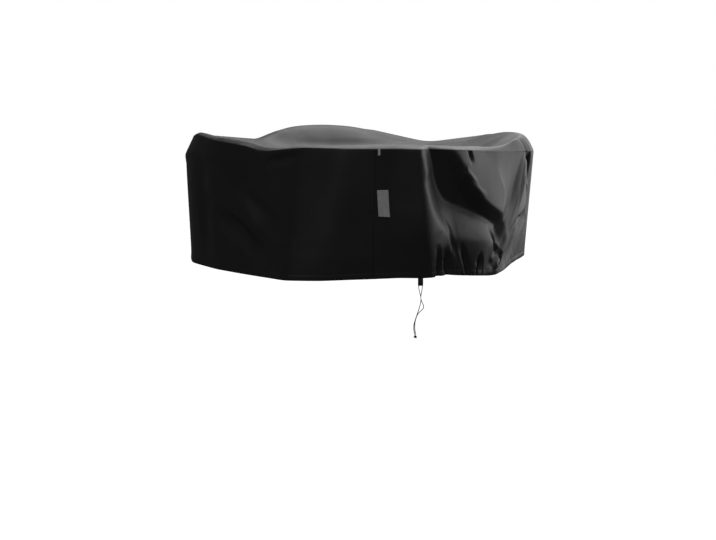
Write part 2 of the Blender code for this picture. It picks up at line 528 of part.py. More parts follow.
# Where the lock hangs: its top just under the hem's edge, its middle a little inside the cloth's face.
HEM_POINT, HEM_OUT = on_wall(
    np.array(LOCK_ROUND), np.linalg.norm(np.subtract(*plan(np.array(LOCK_ROUND))[:2]))
)
LOCK_TOP = Matrix.Translation(Vector(HEM_POINT - HEM_OUT * LOCK_INSET - [0, 0, 0.001])) @ Matrix.Rotation(
    LOCK_TURN, 4, "Z"
)


def by_lock(across, outwards, down):
    """A point given from the lock's top in the lock's own directions."""
    return LOCK_TOP @ Vector((across, -outwards, -down))


def cutter(name, radius, start, end):
    """A round cutter from one point to another, both in the lock's directions."""
    a, b = by_lock(*start), by_lock(*end)
    shape = bmesh.new()
    place = Matrix.Translation((a + b) / 2) @ (b - a).to_track_quat("Z", "Y").to_matrix().to_4x4()
    bmesh.ops.create_cone(
        shape, cap_ends=True, segments=16, radius1=radius, radius2=radius, depth=(b - a).length, matrix=place
    )
    mesh = bpy.data.meshes.new(name)
    shape.to_mesh(mesh)
    shape.free()
    made = bpy.data.objects.new(name, mesh)
    made.hide_render = True
    made.display_type = "WIRE"
    bpy.context.scene.collection.objects.link(made)
    return made


def cord_lock():
    """A flat barrel with rounded ends, two holes down through it for the cords and a well in front for its
    button."""
    wide, deep, tall = LOCK_SIZE
    around = np.linspace(0, 2 * math.pi, 20, endpoint=False)
    rings = []
    for inset, down in ((LOCK_EDGE, 0.0), (0.3 * LOCK_EDGE, 0.3 * LOCK_EDGE), (0.0, LOCK_EDGE)):
        rings.append((inset, down))
    rings += [(inset, tall - down) for inset, down in rings[::-1]]
    points = []
    for inset, down in rings:
        across = (wide / 2 - inset) * np.sign(np.cos(around)) * abs(np.cos(around)) ** 0.7
        outwards = (deep / 2 - inset) * np.sign(np.sin(around)) * abs(np.sin(around)) ** 0.7
        points += [by_lock(x, y, down) for x, y in zip(across, outwards)]
    n = len(around)
    faces = [
        (r * n + i, r * n + (i + 1) % n, (r + 1) * n + (i + 1) % n, (r + 1) * n + i)
        for r in range(len(rings) - 1)
        for i in range(n)
    ]
    faces += [tuple(range(n)), tuple(range((len(rings) - 1) * n, len(rings) * n))]
    mesh = bpy.data.meshes.new("cord_lock")
    mesh.from_pydata(points, [], faces)
    lock = add("cord_lock", mesh, BLACK_PLASTIC)
    past = 0.002
    cuts = [
        cutter(
            f"hole {side}", LOCK_HOLE / 2,
            (side * LOCK_HOLE_AT, 0, -past), (side * LOCK_HOLE_AT, 0, tall + past),
        )
        for side in (-1, 1)
    ]
    front = deep / 2
    well_end = front - BUTTON_IN - GAP
    cuts.append(cutter("well", BUTTON_RADIUS + GAP, (0, front + past, tall / 2), (0, well_end, tall / 2)))
    for cut in cuts:
        boolean = lock.modifiers.new(cut.name, "BOOLEAN")
        boolean.operation = "DIFFERENCE"
        boolean.solver = "EXACT"
        boolean.object = cut
    return lock


def turned(name, profile, centre, axis, look, segments=16):
    """A turned piece: a profile of (radius, distance along the axis) points, closed at both ends on the axis."""
    turn = axis.to_track_quat("Z", "Y").to_matrix().to_4x4()
    angles = np.linspace(0, 2 * math.pi, segments, endpoint=False)
    points = [
        Matrix.Translation(centre) @ turn @ Vector((radius * math.cos(a), radius * math.sin(a), along))
        for radius, along in profile
        for a in angles
    ]
    faces = [
        (
            r * segments + i, r * segments + (i + 1) % segments,
            (r + 1) * segments + (i + 1) % segments, (r + 1) * segments + i,
        )
        for r in range(len(profile) - 1)
        for i in range(segments)
    ]
    last = (len(profile) - 1) * segments
    faces += [tuple(range(segments)), tuple(range(last, last + segments))]
    mesh = bpy.data.meshes.new(name)
    mesh.from_pydata(points, [], faces)
    return add(name, mesh, look)


cord_lock()
FACE = LOCK_SIZE[1] / 2
BUTTON_EDGE = 0.0008
turned(
    "lock_button",
    [
        (BUTTON_RADIUS, -BUTTON_IN),
        (BUTTON_RADIUS, BUTTON_OUT - BUTTON_EDGE),
        (BUTTON_RADIUS - BUTTON_EDGE, BUTTON_OUT),
    ],
    by_lock(0, FACE, LOCK_SIZE[2] / 2),
    by_lock(0, 1, 0) - by_lock(0, 0, 0),
    BLACK_PLASTIC,
)


def cord(name, route):
    """A round cord along a smooth curve through its route, with points evenly along it."""
    fine = smooth_line([by_lock(*point) for point in route], 24)
    far = np.concatenate([[0], np.cumsum(np.linalg.norm(np.diff(fine, axis=0), axis=1))])
    even = np.linspace(0, far[-1], CORD_POINTS)
    points = np.stack([np.interp(even, far, fine[:, k]) for k in range(3)], axis=1)
    curve = bpy.data.curves.new(name, "CURVE")
    curve.dimensions = "3D"
    curve.bevel_depth = CORD_DIAMETER / 2
    curve.bevel_resolution = 2
    curve.use_fill_caps = True
    spline = curve.splines.new("POLY")
    spline.points.add(CORD_POINTS - 1)
    for made, point in zip(spline.points, points):
        made.co = (*point, 1.0)
    curve.materials.append(BLACK_CORD)
    bpy.context.scene.collection.objects.link(bpy.data.objects.new(name, curve))


cord("drawcord_left", LEFT_END)
cord("drawcord_right", RIGHT_END)


def cord_knot():
    """The knot that holds both ends: a lump with slanting ridges where the cord goes round it."""
    turns, levels = 16, 9
    points = [by_lock(KNOT_AT[0], KNOT_AT[1], KNOT_AT[2] - KNOT_SIZE[2] * 0.98)]
    for level in range(1, levels):
        tilt = math.pi * level / levels
        for k in range(turns):
            a = 2 * math.pi * k / turns
            swell = 1 + KNOT_RIDGE * math.sin(tilt) * math.sin(2 * a + 3 * tilt)
            across = KNOT_SIZE[0] * swell * math.sin(tilt) * math.cos(a)
            outwards = KNOT_SIZE[1] * swell * math.sin(tilt) * math.sin(a)
            down = KNOT_AT[2] - KNOT_SIZE[2] * math.cos(tilt)
            points.append(by_lock(KNOT_AT[0] + across, KNOT_AT[1] + outwards, down))
    points.append(by_lock(KNOT_AT[0], KNOT_AT[1], KNOT_AT[2] + KNOT_SIZE[2] * 0.98))
    rows = [[1 + level * turns + k for k in range(turns)] for level in range(levels - 1)]
    faces = [(0, rows[0][k], rows[0][(k + 1) % turns]) for k in range(turns)]
    for upper, lower in zip(rows, rows[1:]):
        faces += [(upper[k], lower[k], lower[(k + 1) % turns], upper[(k + 1) % turns]) for k in range(turns)]
    faces += [(len(points) - 1, rows[-1][(k + 1) % turns], rows[-1][k]) for k in range(turns)]
    mesh = bpy.data.meshes.new("cord_knot")
    mesh.from_pydata(points, [], faces)
    return add("cord_knot", mesh, BLACK_CORD)


cord_knot()
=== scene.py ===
"""Looks of a fitted patio furniture cover of black coated polyester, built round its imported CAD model.

The cover is sewn from a top panel and two halves of a side wall. Four places round its top stand up. The wall
under them is taut, and the spare cloth between them falls in folds. Metres, +Z up, the front seam faces -Y.
"""

import math
from collections import namedtuple

import bmesh
import bpy
import numpy as np
from mathutils import Matrix, Vector


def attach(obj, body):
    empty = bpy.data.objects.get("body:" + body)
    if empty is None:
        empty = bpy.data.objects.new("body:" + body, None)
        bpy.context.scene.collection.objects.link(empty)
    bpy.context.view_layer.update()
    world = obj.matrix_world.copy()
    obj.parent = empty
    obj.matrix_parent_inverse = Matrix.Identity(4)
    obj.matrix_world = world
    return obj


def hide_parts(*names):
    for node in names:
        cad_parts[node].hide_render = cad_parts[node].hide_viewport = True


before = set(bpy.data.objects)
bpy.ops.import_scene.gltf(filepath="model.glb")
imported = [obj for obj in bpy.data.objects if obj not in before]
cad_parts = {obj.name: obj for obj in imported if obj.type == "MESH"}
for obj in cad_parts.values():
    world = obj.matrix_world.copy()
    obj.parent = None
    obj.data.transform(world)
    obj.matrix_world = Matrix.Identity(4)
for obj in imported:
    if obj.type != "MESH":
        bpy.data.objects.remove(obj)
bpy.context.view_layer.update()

# -----------------------------------------------------------------------------
# The view. A camera 1.15 m over the floor, about six metres away and a little to the left of the front
# seam, so that both halves of the wall and the top panel show.

camera_data = bpy.data.cameras.new("view")
camera_data.sensor_width = 36.0
camera_data.lens = 69.9
camera = bpy.data.objects.new("view", camera_data)
camera.location = (-1.364, -5.899, 0.410)
camera.rotation_euler = (math.radians(81.53), 0.0, math.radians(-13.0))
bpy.context.scene.collection.objects.link(camera)
bpy.context.scene.camera = camera
bpy.context.scene.view_settings.view_transform = "Standard"

# -----------------------------------------------------------------------------
# The side wall. Two halves of coated polyester, cut as long straps, sewn to each other at the front and at
# the back and to the top panel all round. The cloth is stiff, so it falls in large soft folds with a few
# sharp creases.

CLOTH = 0.0012  # thickness of the coated cloth
GAP = 0.0004  # between two pieces of cloth

# The plan of the cover, a row for each place round it, counterclockwise from above and straight between
# places: the top seam, the hem, and the crest that the top panel rises to inside the seam.
Place = namedtuple("Place", "name seam_x seam_y seam_z hem_x hem_y hem_z crest_inset crest_z shoulder")
PLACES = [
    Place("front seam", -0.100, -0.722, 0.084, -0.092, -0.687, -0.425, 0.075, 0.100, 2.0),
    Place("front middle", 0.010, -0.720, 0.083, 0.010, -0.684, -0.425, 0.080, 0.102, 2.0),
    Place("front right corner", 0.086, -0.7065, 0.0805, 0.108, -0.672, -0.429, 0.070, 0.094, 2.0),
    Place("pleat", 0.205, -0.630, 0.073, 0.225, -0.615, -0.430, 0.040, 0.084, 2.0),
    Place("pocket", 0.302, -0.554, 0.065, 0.318, -0.580, -0.441, 0.030, 0.074, 2.0),
    Place("bulge", 0.464, -0.410, 0.050, 0.426, -0.536, -0.452, 0.030, 0.060, 2.0),
    Place("gathered corner", 0.600, -0.290, 0.037, 0.505, -0.450, -0.454, 0.040, 0.066, 2.0),
    Place("right ear, near", 0.704, -0.195, 0.029, 0.603, -0.303, -0.437, 0.060, 0.088, 2.5),
    Place("right ear", 0.798, -0.040, 0.022, 0.748, -0.080, -0.435, 0.095, 0.106, 3.0),
    Place("right ear, far", 0.780, 0.120, 0.030, 0.740, 0.120, -0.435, 0.085, 0.103, 3.0),
    Place("back right, near", 0.700, 0.270, 0.036, 0.690, 0.270, -0.432, 0.050, 0.078, 2.0),
    Place("back right", 0.480, 0.500, 0.028, 0.500, 0.520, -0.430, 0.030, 0.034, 2.0),
    Place("back right, far", 0.290, 0.700, 0.054, 0.290, 0.680, -0.430, 0.050, 0.078, 2.0),
    Place("back right end", 0.130, 0.780, 0.078, 0.130, 0.730, -0.430, 0.080, 0.109, 2.0),
    Place("back seam", -0.020, 0.800, 0.080, 0.000, 0.745, -0.430, 0.085, 0.117, 2.0),
    Place("back left end", -0.180, 0.775, 0.078, -0.150, 0.725, -0.430, 0.080, 0.112, 2.0),
    Place("back left, far", -0.310, 0.700, 0.050, -0.300, 0.680, -0.430, 0.050, 0.077, 2.0),
    Place("back left fold", -0.360, 0.641, 0.040, -0.362, 0.633, -0.430, 0.040, 0.054, 2.0),
    Place("back left", -0.480, 0.500, 0.048, -0.510, 0.520, -0.430, 0.030, 0.068, 2.0),
    Place("back left, near", -0.680, 0.290, 0.052, -0.680, 0.280, -0.433, 0.045, 0.094, 2.0),
    Place("left ear, far", -0.702, 0.135, 0.100, -0.722, 0.130, -0.435, 0.030, 0.116, 1.7),
    Place("left ear", -0.694, -0.010, 0.111, -0.729, 0.000, -0.435, 0.030, 0.115, 1.7),
    Place("left ear, near", -0.656, -0.186, 0.096, -0.655, -0.215, -0.435, 0.035, 0.105, 1.7),
    Place("front left, near", -0.535, -0.369, 0.079, -0.570, -0.374, -0.434, 0.034, 0.085, 2.0),
    Place("front left", -0.496, -0.419, 0.059, -0.546, -0.421, -0.433, 0.030, 0.066, 2.0),
    Place("front left corner", -0.365, -0.590, 0.086, -0.440, -0.630, -0.428, 0.030, 0.090, 2.0),
    Place("front left end", -0.225, -0.715, 0.086, -0.300, -0.680, -0.426, 0.060, 0.095, 2.0),
]
SEAM_ROUNDING, HEM_ROUNDING, CREST_ROUNDING = 0.030, 0.025, 0.050

# Folds, a row each. A fold runs along a line of points (metres round the seam from the front seam, metres
# down from it, metres that the cloth stands out, or in if negative). Its sides reach to the left and right
# of the line as seen from outside, and crest is 0 for a sharp line and 1 for a soft one. A point's fourth
# and fifth numbers, 1 where it has none, are the shares of the left and right reach that it has there.
Fold = namedtuple("Fold", "name left right crest line")
MAIN_FOLDS = [
    Fold("front right corner", 0.110, 0.130, 0.06,
         [(0.184, 0.00, 0.012, 1.0, 0.5), (0.177, 0.06, 0.020, 1.0, 0.8), (0.176, 0.13, 0.028, 1.0, 1.0),
          (0.180, 0.20, 0.036, 1.0, 1.1), (0.180, 0.27, 0.044, 1.0, 1.3), (0.184, 0.34, 0.044, 1.0, 1.3),
          (0.202, 0.40, 0.034, 1.0, 1.2), (0.214, 0.46, 0.024, 1.0, 0.8), (0.222, 0.50, 0.016, 1.0, 0.6)]),
    Fold("pocket", 0.150, 0.156, 0.06,
         [(0.262, 0.000, -0.026, 0.55, 0.25), (0.300, 0.060, -0.045, 0.75, 0.70),
          (0.322, 0.118, -0.055, 0.90, 0.90), (0.354, 0.168, -0.060, 1.00, 0.94),
          (0.396, 0.204, -0.062, 1.00, 0.90), (0.436, 0.216, -0.062, 0.95, 0.78),
          (0.534, 0.240, -0.048, 0.85, 0.46), (0.634, 0.270, -0.029, 0.70, 0.34),
          (0.740, 0.305, -0.021, 0.50, 0.32), (0.790, 0.332, -0.021, 0.45, 0.36),
          (0.812, 0.357, -0.014, 0.40, 0.36)]),
    Fold("edge over the pocket", 0.050, 0.180, 0.25,
         [(0.342, 0.000, 0.002), (0.404, 0.017, 0.006), (0.432, 0.044, 0.010), (0.456, 0.084, 0.012),
          (0.490, 0.118, 0.013), (0.526, 0.152, 0.014), (0.584, 0.187, 0.014), (0.656, 0.219, 0.013),
          (0.730, 0.238, 0.012), (0.812, 0.257, 0.008)]),
    Fold("hollow before the ear", 0.270, 0.030, 0.20,
         [(1.020, 0.000, -0.014, 1.00, 1.0), (1.000, 0.072, -0.018, 1.00, 1.0),
          (0.970, 0.159, -0.020, 0.90, 1.0), (0.938, 0.229, -0.020, 0.65, 1.0),
          (0.892, 0.292, -0.019, 0.40, 1.0), (0.852, 0.355, -0.018, 0.32, 1.0),
          (0.790, 0.420, -0.014, 0.30, 1.0), (0.680, 0.466, -0.010, 0.30, 1.0),
          (0.608, 0.500, -0.005, 0.30, 1.0)]),
    Fold("strap of the ear", 0.040, 0.050, 0.30,
         [(1.020, 0.020, 0.004), (1.012, 0.056, 0.010), (0.978, 0.150, 0.016), (0.940, 0.243, 0.019),
          (0.872, 0.322, 0.019), (0.820, 0.402, 0.017), (0.742, 0.464, 0.012), (0.690, 0.503, 0.006)]),
    Fold("slot under the ear", 0.026, 0.028, 0.30,
         [(1.036, 0.004, -0.008), (1.072, 0.034, -0.021), (1.084, 0.075, -0.021), (1.084, 0.115, -0.008)]),
    Fold("crease from the ear", 0.020, 0.045, 0.08,
         [(1.085, 0.04, -0.008), (1.102, 0.09, -0.011), (1.115, 0.20, -0.011), (1.088, 0.27, -0.012),
          (1.000, 0.309, -0.017), (0.955, 0.372, -0.016), (0.900, 0.444, -0.012), (0.820, 0.51, -0.006)]),
    Fold("shoulder of the left ear", 0.420, 0.090, 0.10,
         [(-1.340, 0.085, 0.000), (-1.250, 0.088, 0.016), (-1.150, 0.088, 0.030), (-1.010, 0.083, 0.029),
          (-0.900, 0.075, 0.017), (-0.810, 0.060, 0.003)]),
    Fold("point of the left ear", 0.040, 0.070, 0.15,
         [(-1.300, 0.078, 0.000), (-1.200, 0.078, 0.004), (-1.080, 0.078, 0.005), (-0.960, 0.070, 0.001)]),
    Fold("balloon over the gathers", 0.240, 0.120, 0.70,
         [(0.352, 0.232, 0.000), (0.406, 0.266, 0.008), (0.466, 0.304, 0.015), (0.554, 0.349, 0.019),
          (0.630, 0.396, 0.017), (0.692, 0.454, 0.008)]),
    Fold("first gather", 0.022, 0.022, 0.25,
         [(0.244, 0.377, 0.000), (0.262, 0.420, -0.012), (0.268, 0.464, -0.016), (0.264, 0.510, -0.014)]),
    Fold("second gather", 0.026, 0.030, 0.25,
         [(0.300, 0.390, 0.000), (0.322, 0.440, -0.014), (0.330, 0.480, -0.018), (0.334, 0.510, -0.014)]),
    Fold("third gather", 0.028, 0.020, 0.25,
         [(0.400, 0.372, 0.000), (0.428, 0.418, -0.013), (0.446, 0.459, -0.015), (0.460, 0.507, -0.011)]),
    Fold("fourth gather", 0.040, 0.034, 0.25,
         [(0.530, 0.425, 0.000), (0.560, 0.462, -0.020), (0.552, 0.507, -0.018)]),
    Fold("fifth gather", 0.030, 0.026, 0.30,
         [(0.660, 0.310, 0.000), (0.724, 0.373, -0.016), (0.788, 0.435, -0.016), (0.830, 0.485, -0.010)]),
    Fold("sixth gather", 0.026, 0.024, 0.30,
         [(0.655, 0.440, 0.000), (0.704, 0.479, -0.012), (0.690, 0.512, -0.012)]),
    Fold("left slanting hollow", 0.060, 0.055, 0.40,
         [(-0.958, 0.215, -0.004), (-0.838, 0.276, -0.012), (-0.746, 0.314, -0.015),
          (-0.570, 0.365, -0.015), (-0.468, 0.415, -0.011), (-0.390, 0.477, -0.004)]),
    Fold("left slanting ridge", 0.060, 0.070, 0.50,
         [(-0.814, 0.170, 0.005), (-0.716, 0.223, 0.010), (-0.576, 0.274, 0.011), (-0.448, 0.339, 0.008),
          (-0.342, 0.403, 0.003)]),
    Fold("second left hollow", 0.050, 0.045, 0.40,
         [(-0.552, 0.200, -0.004), (-0.466, 0.261, -0.009), (-0.364, 0.326, -0.004)]),
    Fold("left upright hollow", 0.050, 0.055, 0.40,
         [(-0.905, 0.120, -0.002), (-0.900, 0.260, -0.005), (-0.885, 0.360, -0.008),
          (-0.880, 0.440, -0.003)]),
    Fold("dent under the front left corner", 0.035, 0.026, 0.30,
         [(-0.470, 0.044, -0.006), (-0.446, 0.037, -0.010), (-0.360, 0.034, -0.009),
          (-0.330, 0.030, -0.004)]),
    Fold("belly of the front", 0.140, 0.150, 0.80, [(-0.210, 0.12, 0.003), (-0.200, 0.42, 0.009)]),
    Fold("hollow of the front", 0.100, 0.060, 0.60,
         [(0.080, 0.05, -0.003), (0.110, 0.30, -0.007), (0.120, 0.45, -0.003)]),
    Fold("back right hollow", 0.150, 0.120, 0.35,
         [(1.560, 0.02, -0.010), (1.650, 0.20, -0.030), (1.800, 0.36, -0.032), (1.900, 0.48, -0.012)]),
    Fold("back right ridge", 0.080, 0.090, 0.40,
         [(1.950, 0.03, 0.006), (1.900, 0.22, 0.016), (1.790, 0.44, 0.012)]),
    Fold("back left hollow", 0.110, 0.140, 0.35,
         [(3.200, 0.02, -0.008), (3.110, 0.20, -0.026), (2.980, 0.36, -0.026), (2.900, 0.48, -0.010)]),
    Fold("back left ridge", 0.080, 0.080, 0.40,
         [(2.830, 0.03, 0.006), (2.880, 0.22, 0.014), (2.990, 0.46, 0.010)]),
    Fold("belly of the back", 0.160, 0.160, 0.80, [(2.400, 0.10, 0.004), (2.420, 0.40, 0.010)]),
]
# Small creases that only the cloth's surface has.
CREASES = [
    Fold("down the bulge", 0.020, 0.014, 0.20,
         [(0.306, 0.212, 0.000), (0.332, 0.262, -0.003), (0.352, 0.316, -0.004), (0.352, 0.356, -0.004),
          (0.372, 0.397, -0.004), (0.386, 0.431, -0.001)]),
    Fold("beside it", 0.014, 0.012, 0.25,
         [(0.318, 0.270, 0.000), (0.340, 0.330, -0.002), (0.356, 0.400, -0.002)]),
    Fold("nick at the rim", 0.018, 0.020, 0.25,
         [(0.490, 0.000, -0.005), (0.498, 0.012, -0.011), (0.506, 0.034, -0.010), (0.516, 0.056, 0.000)]),
    Fold("ripple by the pocket", 0.014, 0.016, 0.40,
         [(0.468, 0.086, 0.002), (0.505, 0.112, 0.004), (0.540, 0.128, 0.001)]),
    Fold("second ripple", 0.014, 0.016, 0.40,
         [(0.535, 0.148, 0.002), (0.572, 0.168, 0.004), (0.610, 0.180, 0.001)]),
    Fold("mouth of the slot", 0.022, 0.034, 0.30,
         [(1.034, 0.010, -0.003), (1.040, 0.040, -0.011), (1.036, 0.080, -0.011), (1.026, 0.112, -0.003)]),
    Fold("crease beside the ear", 0.007, 0.014, 0.20,
         [(1.040, 0.110, -0.003), (1.085, 0.180, -0.005), (1.102, 0.230, -0.006), (1.094, 0.275, -0.007),
          (1.020, 0.335, -0.007), (0.967, 0.379, -0.007), (0.916, 0.442, -0.006), (0.852, 0.498, -0.004)]),
    Fold("second crease", 0.010, 0.016, 0.25,
         [(1.114, 0.288, -0.003), (1.055, 0.322, -0.006), (1.015, 0.362, -0.007), (0.994, 0.402, -0.007),
          (0.979, 0.443, -0.006), (0.962, 0.484, -0.003)]),
    Fold("third crease", 0.010, 0.015, 0.25,
         [(1.112, 0.305, -0.002), (1.094, 0.340, -0.006), (1.072, 0.390, -0.007), (1.061, 0.446, -0.006),
          (1.050, 0.474, -0.003)]),
    Fold("crease before the strap", 0.012, 0.014, 0.25,
         [(0.850, 0.378, -0.002), (0.828, 0.400, -0.005), (0.744, 0.442, -0.005), (0.663, 0.489, -0.003)]),
    Fold("line in the strap", 0.012, 0.012, 0.25,
         [(0.995, 0.12, -0.001), (0.960, 0.24, -0.003), (0.880, 0.35, -0.002)]),
]
FOLD_STEPS = 10  # straight pieces between two points of a fold's line
FOOT = 0.05  # how softly a fold runs out, as a share of its height

# The wall's surface: seams, hem and gathers.
BACK_SEAM = sum(math.dist(a[1:4], b[1:4]) for a, b in zip(PLACES[:14], PLACES[1:15]))
COLUMN_STEP = 0.005
NEAR_END = (0.0, 0.0012, 0.0026, 0.0042, 0.006, 0.008)  # columns beside an end that is sewn
FIRST_COLUMN = 0.0115  # the first of the even columns, from that end
SEAM_ALLOWANCE = 0.011  # how far the cloth goes on behind a seam
NEAR_SEAM = (0.0004, 0.0012, 0.0024, 0.004, 0.006, 0.0085, 0.0115, 0.015, 0.019, 0.0235)
NEAR_HEM = (0.030, 0.0265, 0.0245, 0.0235, 0.022, 0.019, 0.015, 0.011, 0.0075, 0.005, 0.003, 0.0015, 0.0)
WALL_ROWS = 74  # between those near the seam and those near the hem
SEAM_GROOVE, SEAM_GROOVE_WIDTH = 0.0011, 0.0022
STITCH_GROOVE, STITCH_GROOVE_WIDTH = 0.0006, 0.0012
TOP_STITCH_DOWN = 0.0060
HEM_STITCH_UP = 0.0235
HEM_SWELL = 0.0010
SEAM_RIDGE, SEAM_RIDGE_AT = 0.0006, 0.004  # where the turned edges lie beside a seam of the wall
SEAM_PUCKER_REACH = 0.016
PUCKER, PUCKER_PITCH, PUCKER_REACH = 0.00022, 0.021, 0.018
GATHERED = (0.215, 1.120)  # the stretch of the hem that the drawcord pulls together
GATHER, GATHER_PITCH, GATHER_REACH = 0.0036, 0.0165, 0.030


def soften(values, spacing, width):
    """Numbers that go round in a loop, each replaced by its neighbourhood's mean under a bell curve."""
    waves = np.fft.rfftfreq(len(values), spacing)
    keep = np.exp(-2 * (math.pi * waves * width) ** 2)
    return np.fft.irfft(np.fft.rfft(values, axis=0) * keep[:, None], len(values), axis=0)


def plan_round_the_cover(samples=2880):
    """The table of places as smooth numbers: the seam's length, places along it, and the numbers there."""
    table = np.array([place[1:] for place in PLACES + PLACES[:1]])
    corners = np.concatenate([[0], np.cumsum(np.linalg.norm(np.diff(table[:, :3], axis=0), axis=1))])
    length = corners[-1]
    at = np.arange(samples) * length / samples
    straight = np.stack([np.interp(at, corners, column) for column in table.T], axis=1)
    widths = [(slice(0, 3), SEAM_ROUNDING), (slice(3, 6), HEM_ROUNDING), (slice(6, 9), CREST_ROUNDING)]
    smooth = [soften(straight[:, part], length / samples, width) for part, width in widths]
    return length, at, np.concatenate(smooth, axis=1)


ROUND, PLAN_AT, PLAN = plan_round_the_cover()


def plan(along):
    """Top seam, hem, and the crest's inset, height and shoulder at places round the seam."""
    numbers = np.stack([np.interp(along, PLAN_AT, column, period=ROUND) for column in PLAN.T], axis=-1)
    return numbers[..., 0:3], numbers[..., 3:6], numbers[..., 6:9]


def smooth_line(points, steps=FOLD_STEPS):
    """Points of the Catmull-Rom curve through the given ones: between b and c, with a before and d after
    them, b + t((c - a) + t((2a - 5b + 4c - d) + t(3b - a - 3c + d))) / 2."""
    points = np.array(points, float)
    padded = np.vstack([2 * points[0] - points[1], points, 2 * points[-1] - points[-2]])
    share = np.arange(steps)[:, None] / steps
    pieces = [
        b + share * (
            (c - a) + share * ((2 * a - 5 * b + 4 * c - d) + share * (3 * b - a - 3 * c + d))
        ) / 2
        for a, b, c, d in zip(padded, padded[1:], padded[2:], padded[3:])
    ]
    return np.vstack(pieces + [points[-1:]])


def fold_height(fold, u, v):
    """How far a fold lifts the points (u, v): the height along its line times a roof-shaped section. The
    section is 1 on the line and falls to 0 at the reach, 1 - (sqrt(x^2 + c^2) - c) / (sqrt(1 + c^2) - c)
    for a crest c, and a softened maximum with 0 rounds its foot."""
    line = smooth_line([point + (1.0, 1.0)[: 5 - len(point)] for point in fold.line])
    reach = 1.35 * max(fold.left, fold.right)
    low, high = line[:, :2].min(axis=0) - reach, line[:, :2].max(axis=0) + reach
    inside = (u > low[0]) & (u < high[0]) & (v > low[1]) & (v < high[1])
    flat = np.stack([u[inside], v[inside]], axis=1)
    nearest = np.full(len(flat), np.inf)
    lifted, reach = np.zeros((2, len(flat)))
    for start, end in zip(line, line[1:]):
        step = end[:2] - start[:2]
        share = np.clip((flat - start[:2]) @ step / max(step @ step, 1e-12), 0, 1)
        off = flat - start[:2] - share[:, None] * step
        far = np.hypot(off[:, 0], off[:, 1])
        side = (step[1] * off[:, 0] - step[0] * off[:, 1]) / np.maximum(far * math.hypot(*step), 1e-12)
        closer = far < nearest
        nearest = np.where(closer, far, nearest)
        left = fold.left * (start[3] + share * (end[3] - start[3]))
        right = fold.right * (start[4] + share * (end[4] - start[4]))
        reach = np.where(closer, (right + left) / 2 + (right - left) / 2 * side, reach)
        lifted = np.where(closer, start[2] + share * (end[2] - start[2]), lifted)
    nearest = nearest / reach
    rounded = np.sqrt(nearest**2 + fold.crest**2) - fold.crest
    section = 1 - rounded / (math.sqrt(1 + fold.crest**2) - fold.crest)
    section = FOOT * np.logaddexp(0, section / FOOT) / (FOOT * np.logaddexp(0, 1 / FOOT))
    total = np.zeros(u.shape)
    total[inside] = lifted * section
    return total


def wall_folds(along, down, folds):
    """How far the folds lift places on the wall. Each counts places from half the seam before it to half
    after."""
    total = np.zeros(np.shape(along))
    for fold in folds:
        middle = fold.line[0][0]
        near = middle + (along - middle + ROUND / 2) % ROUND - ROUND / 2
        total += fold_height(fold, near, down)
    return total


def bell(x, width):
    """exp(-(x / width)^2)."""
    return np.exp(-((x / width) ** 2))


def uneven(along, pitch, seed):
    """A wave of +-1 along the cloth whose pitch wanders: the sine of 2 pi (x / pitch) plus slow sines of
    x."""
    wander = np.random.default_rng(seed).uniform(0, 2 * math.pi, 3)
    return np.sin(
        2 * math.pi * along / pitch
        + 1.3 * np.sin(along * 13.1 + wander[0])
        + 1.0 * np.sin(along * 31.7 + wander[1])
        + 0.7 * np.sin(along * 67.0 + wander[2])
    )


def gathered_share(along):
    """1 on the stretch of the hem that is pulled together and 0.12 elsewhere, with soft ends."""
    middle, half = sum(GATHERED) / 2, (GATHERED[1] - GATHERED[0]) / 2
    off = np.abs((along - middle + ROUND / 2) % ROUND - ROUND / 2)
    return 0.12 + 0.88 / (1 + np.exp((off - half) / 0.02))


def sewing(along, down, up):
    """The small relief of the sewing: grooves on the seam lines and rows of stitches, puckers that fade
    away from the seams, the swell of the hem's tunnel, and sharp valleys between round gathers above the
    hem."""
    relief = -SEAM_GROOVE * bell(down, SEAM_GROOVE_WIDTH)
    for seam in (0.0, BACK_SEAM):
        off = (along - seam + ROUND / 2) % ROUND - ROUND / 2
        relief -= SEAM_GROOVE * bell(off, SEAM_GROOVE_WIDTH)
        relief -= STITCH_GROOVE * bell(off - TOP_STITCH_DOWN, STITCH_GROOVE_WIDTH * 1.6)
        relief += SEAM_RIDGE * bell(off - SEAM_RIDGE_AT, SEAM_RIDGE_AT)
        relief += PUCKER * uneven(down, PUCKER_PITCH, 3) * bell(off, SEAM_PUCKER_REACH)
    relief -= STITCH_GROOVE * bell(down - TOP_STITCH_DOWN, STITCH_GROOVE_WIDTH)
    relief -= STITCH_GROOVE * bell(up - HEM_STITCH_UP, STITCH_GROOVE_WIDTH)
    relief += PUCKER * uneven(along, PUCKER_PITCH, 1) * bell(down - TOP_STITCH_DOWN, PUCKER_REACH)
    relief += HEM_SWELL * bell(up - HEM_STITCH_UP / 2, HEM_STITCH_UP / 2.4)
    valleys = 0.5 - np.sqrt(np.abs(uneven(along / 2, GATHER_PITCH, 5)))
    reach = GATHER_REACH * (1 + 0.5 * uneven(along, 0.057, 6))
    relief -= GATHER * gathered_share(along) * valleys * bell(up, reach)
    return relief


def flat_wall(along, share):
    """The wall without its folds: seam + share (hem - seam)."""
    seam, hem, _ = plan(along)
    return seam + (hem - seam) * share[..., None]


def wall_outward(along, share):
    """The unit vector across the flat wall: the way down crossed with the way round."""
    seam, hem, _ = plan(along)
    step = 0.002
    onwards = flat_wall(along + step, share) - flat_wall(along - step, share)
    outward = np.cross(hem - seam, onwards)
    return outward / np.linalg.norm(outward, axis=-1, keepdims=True)


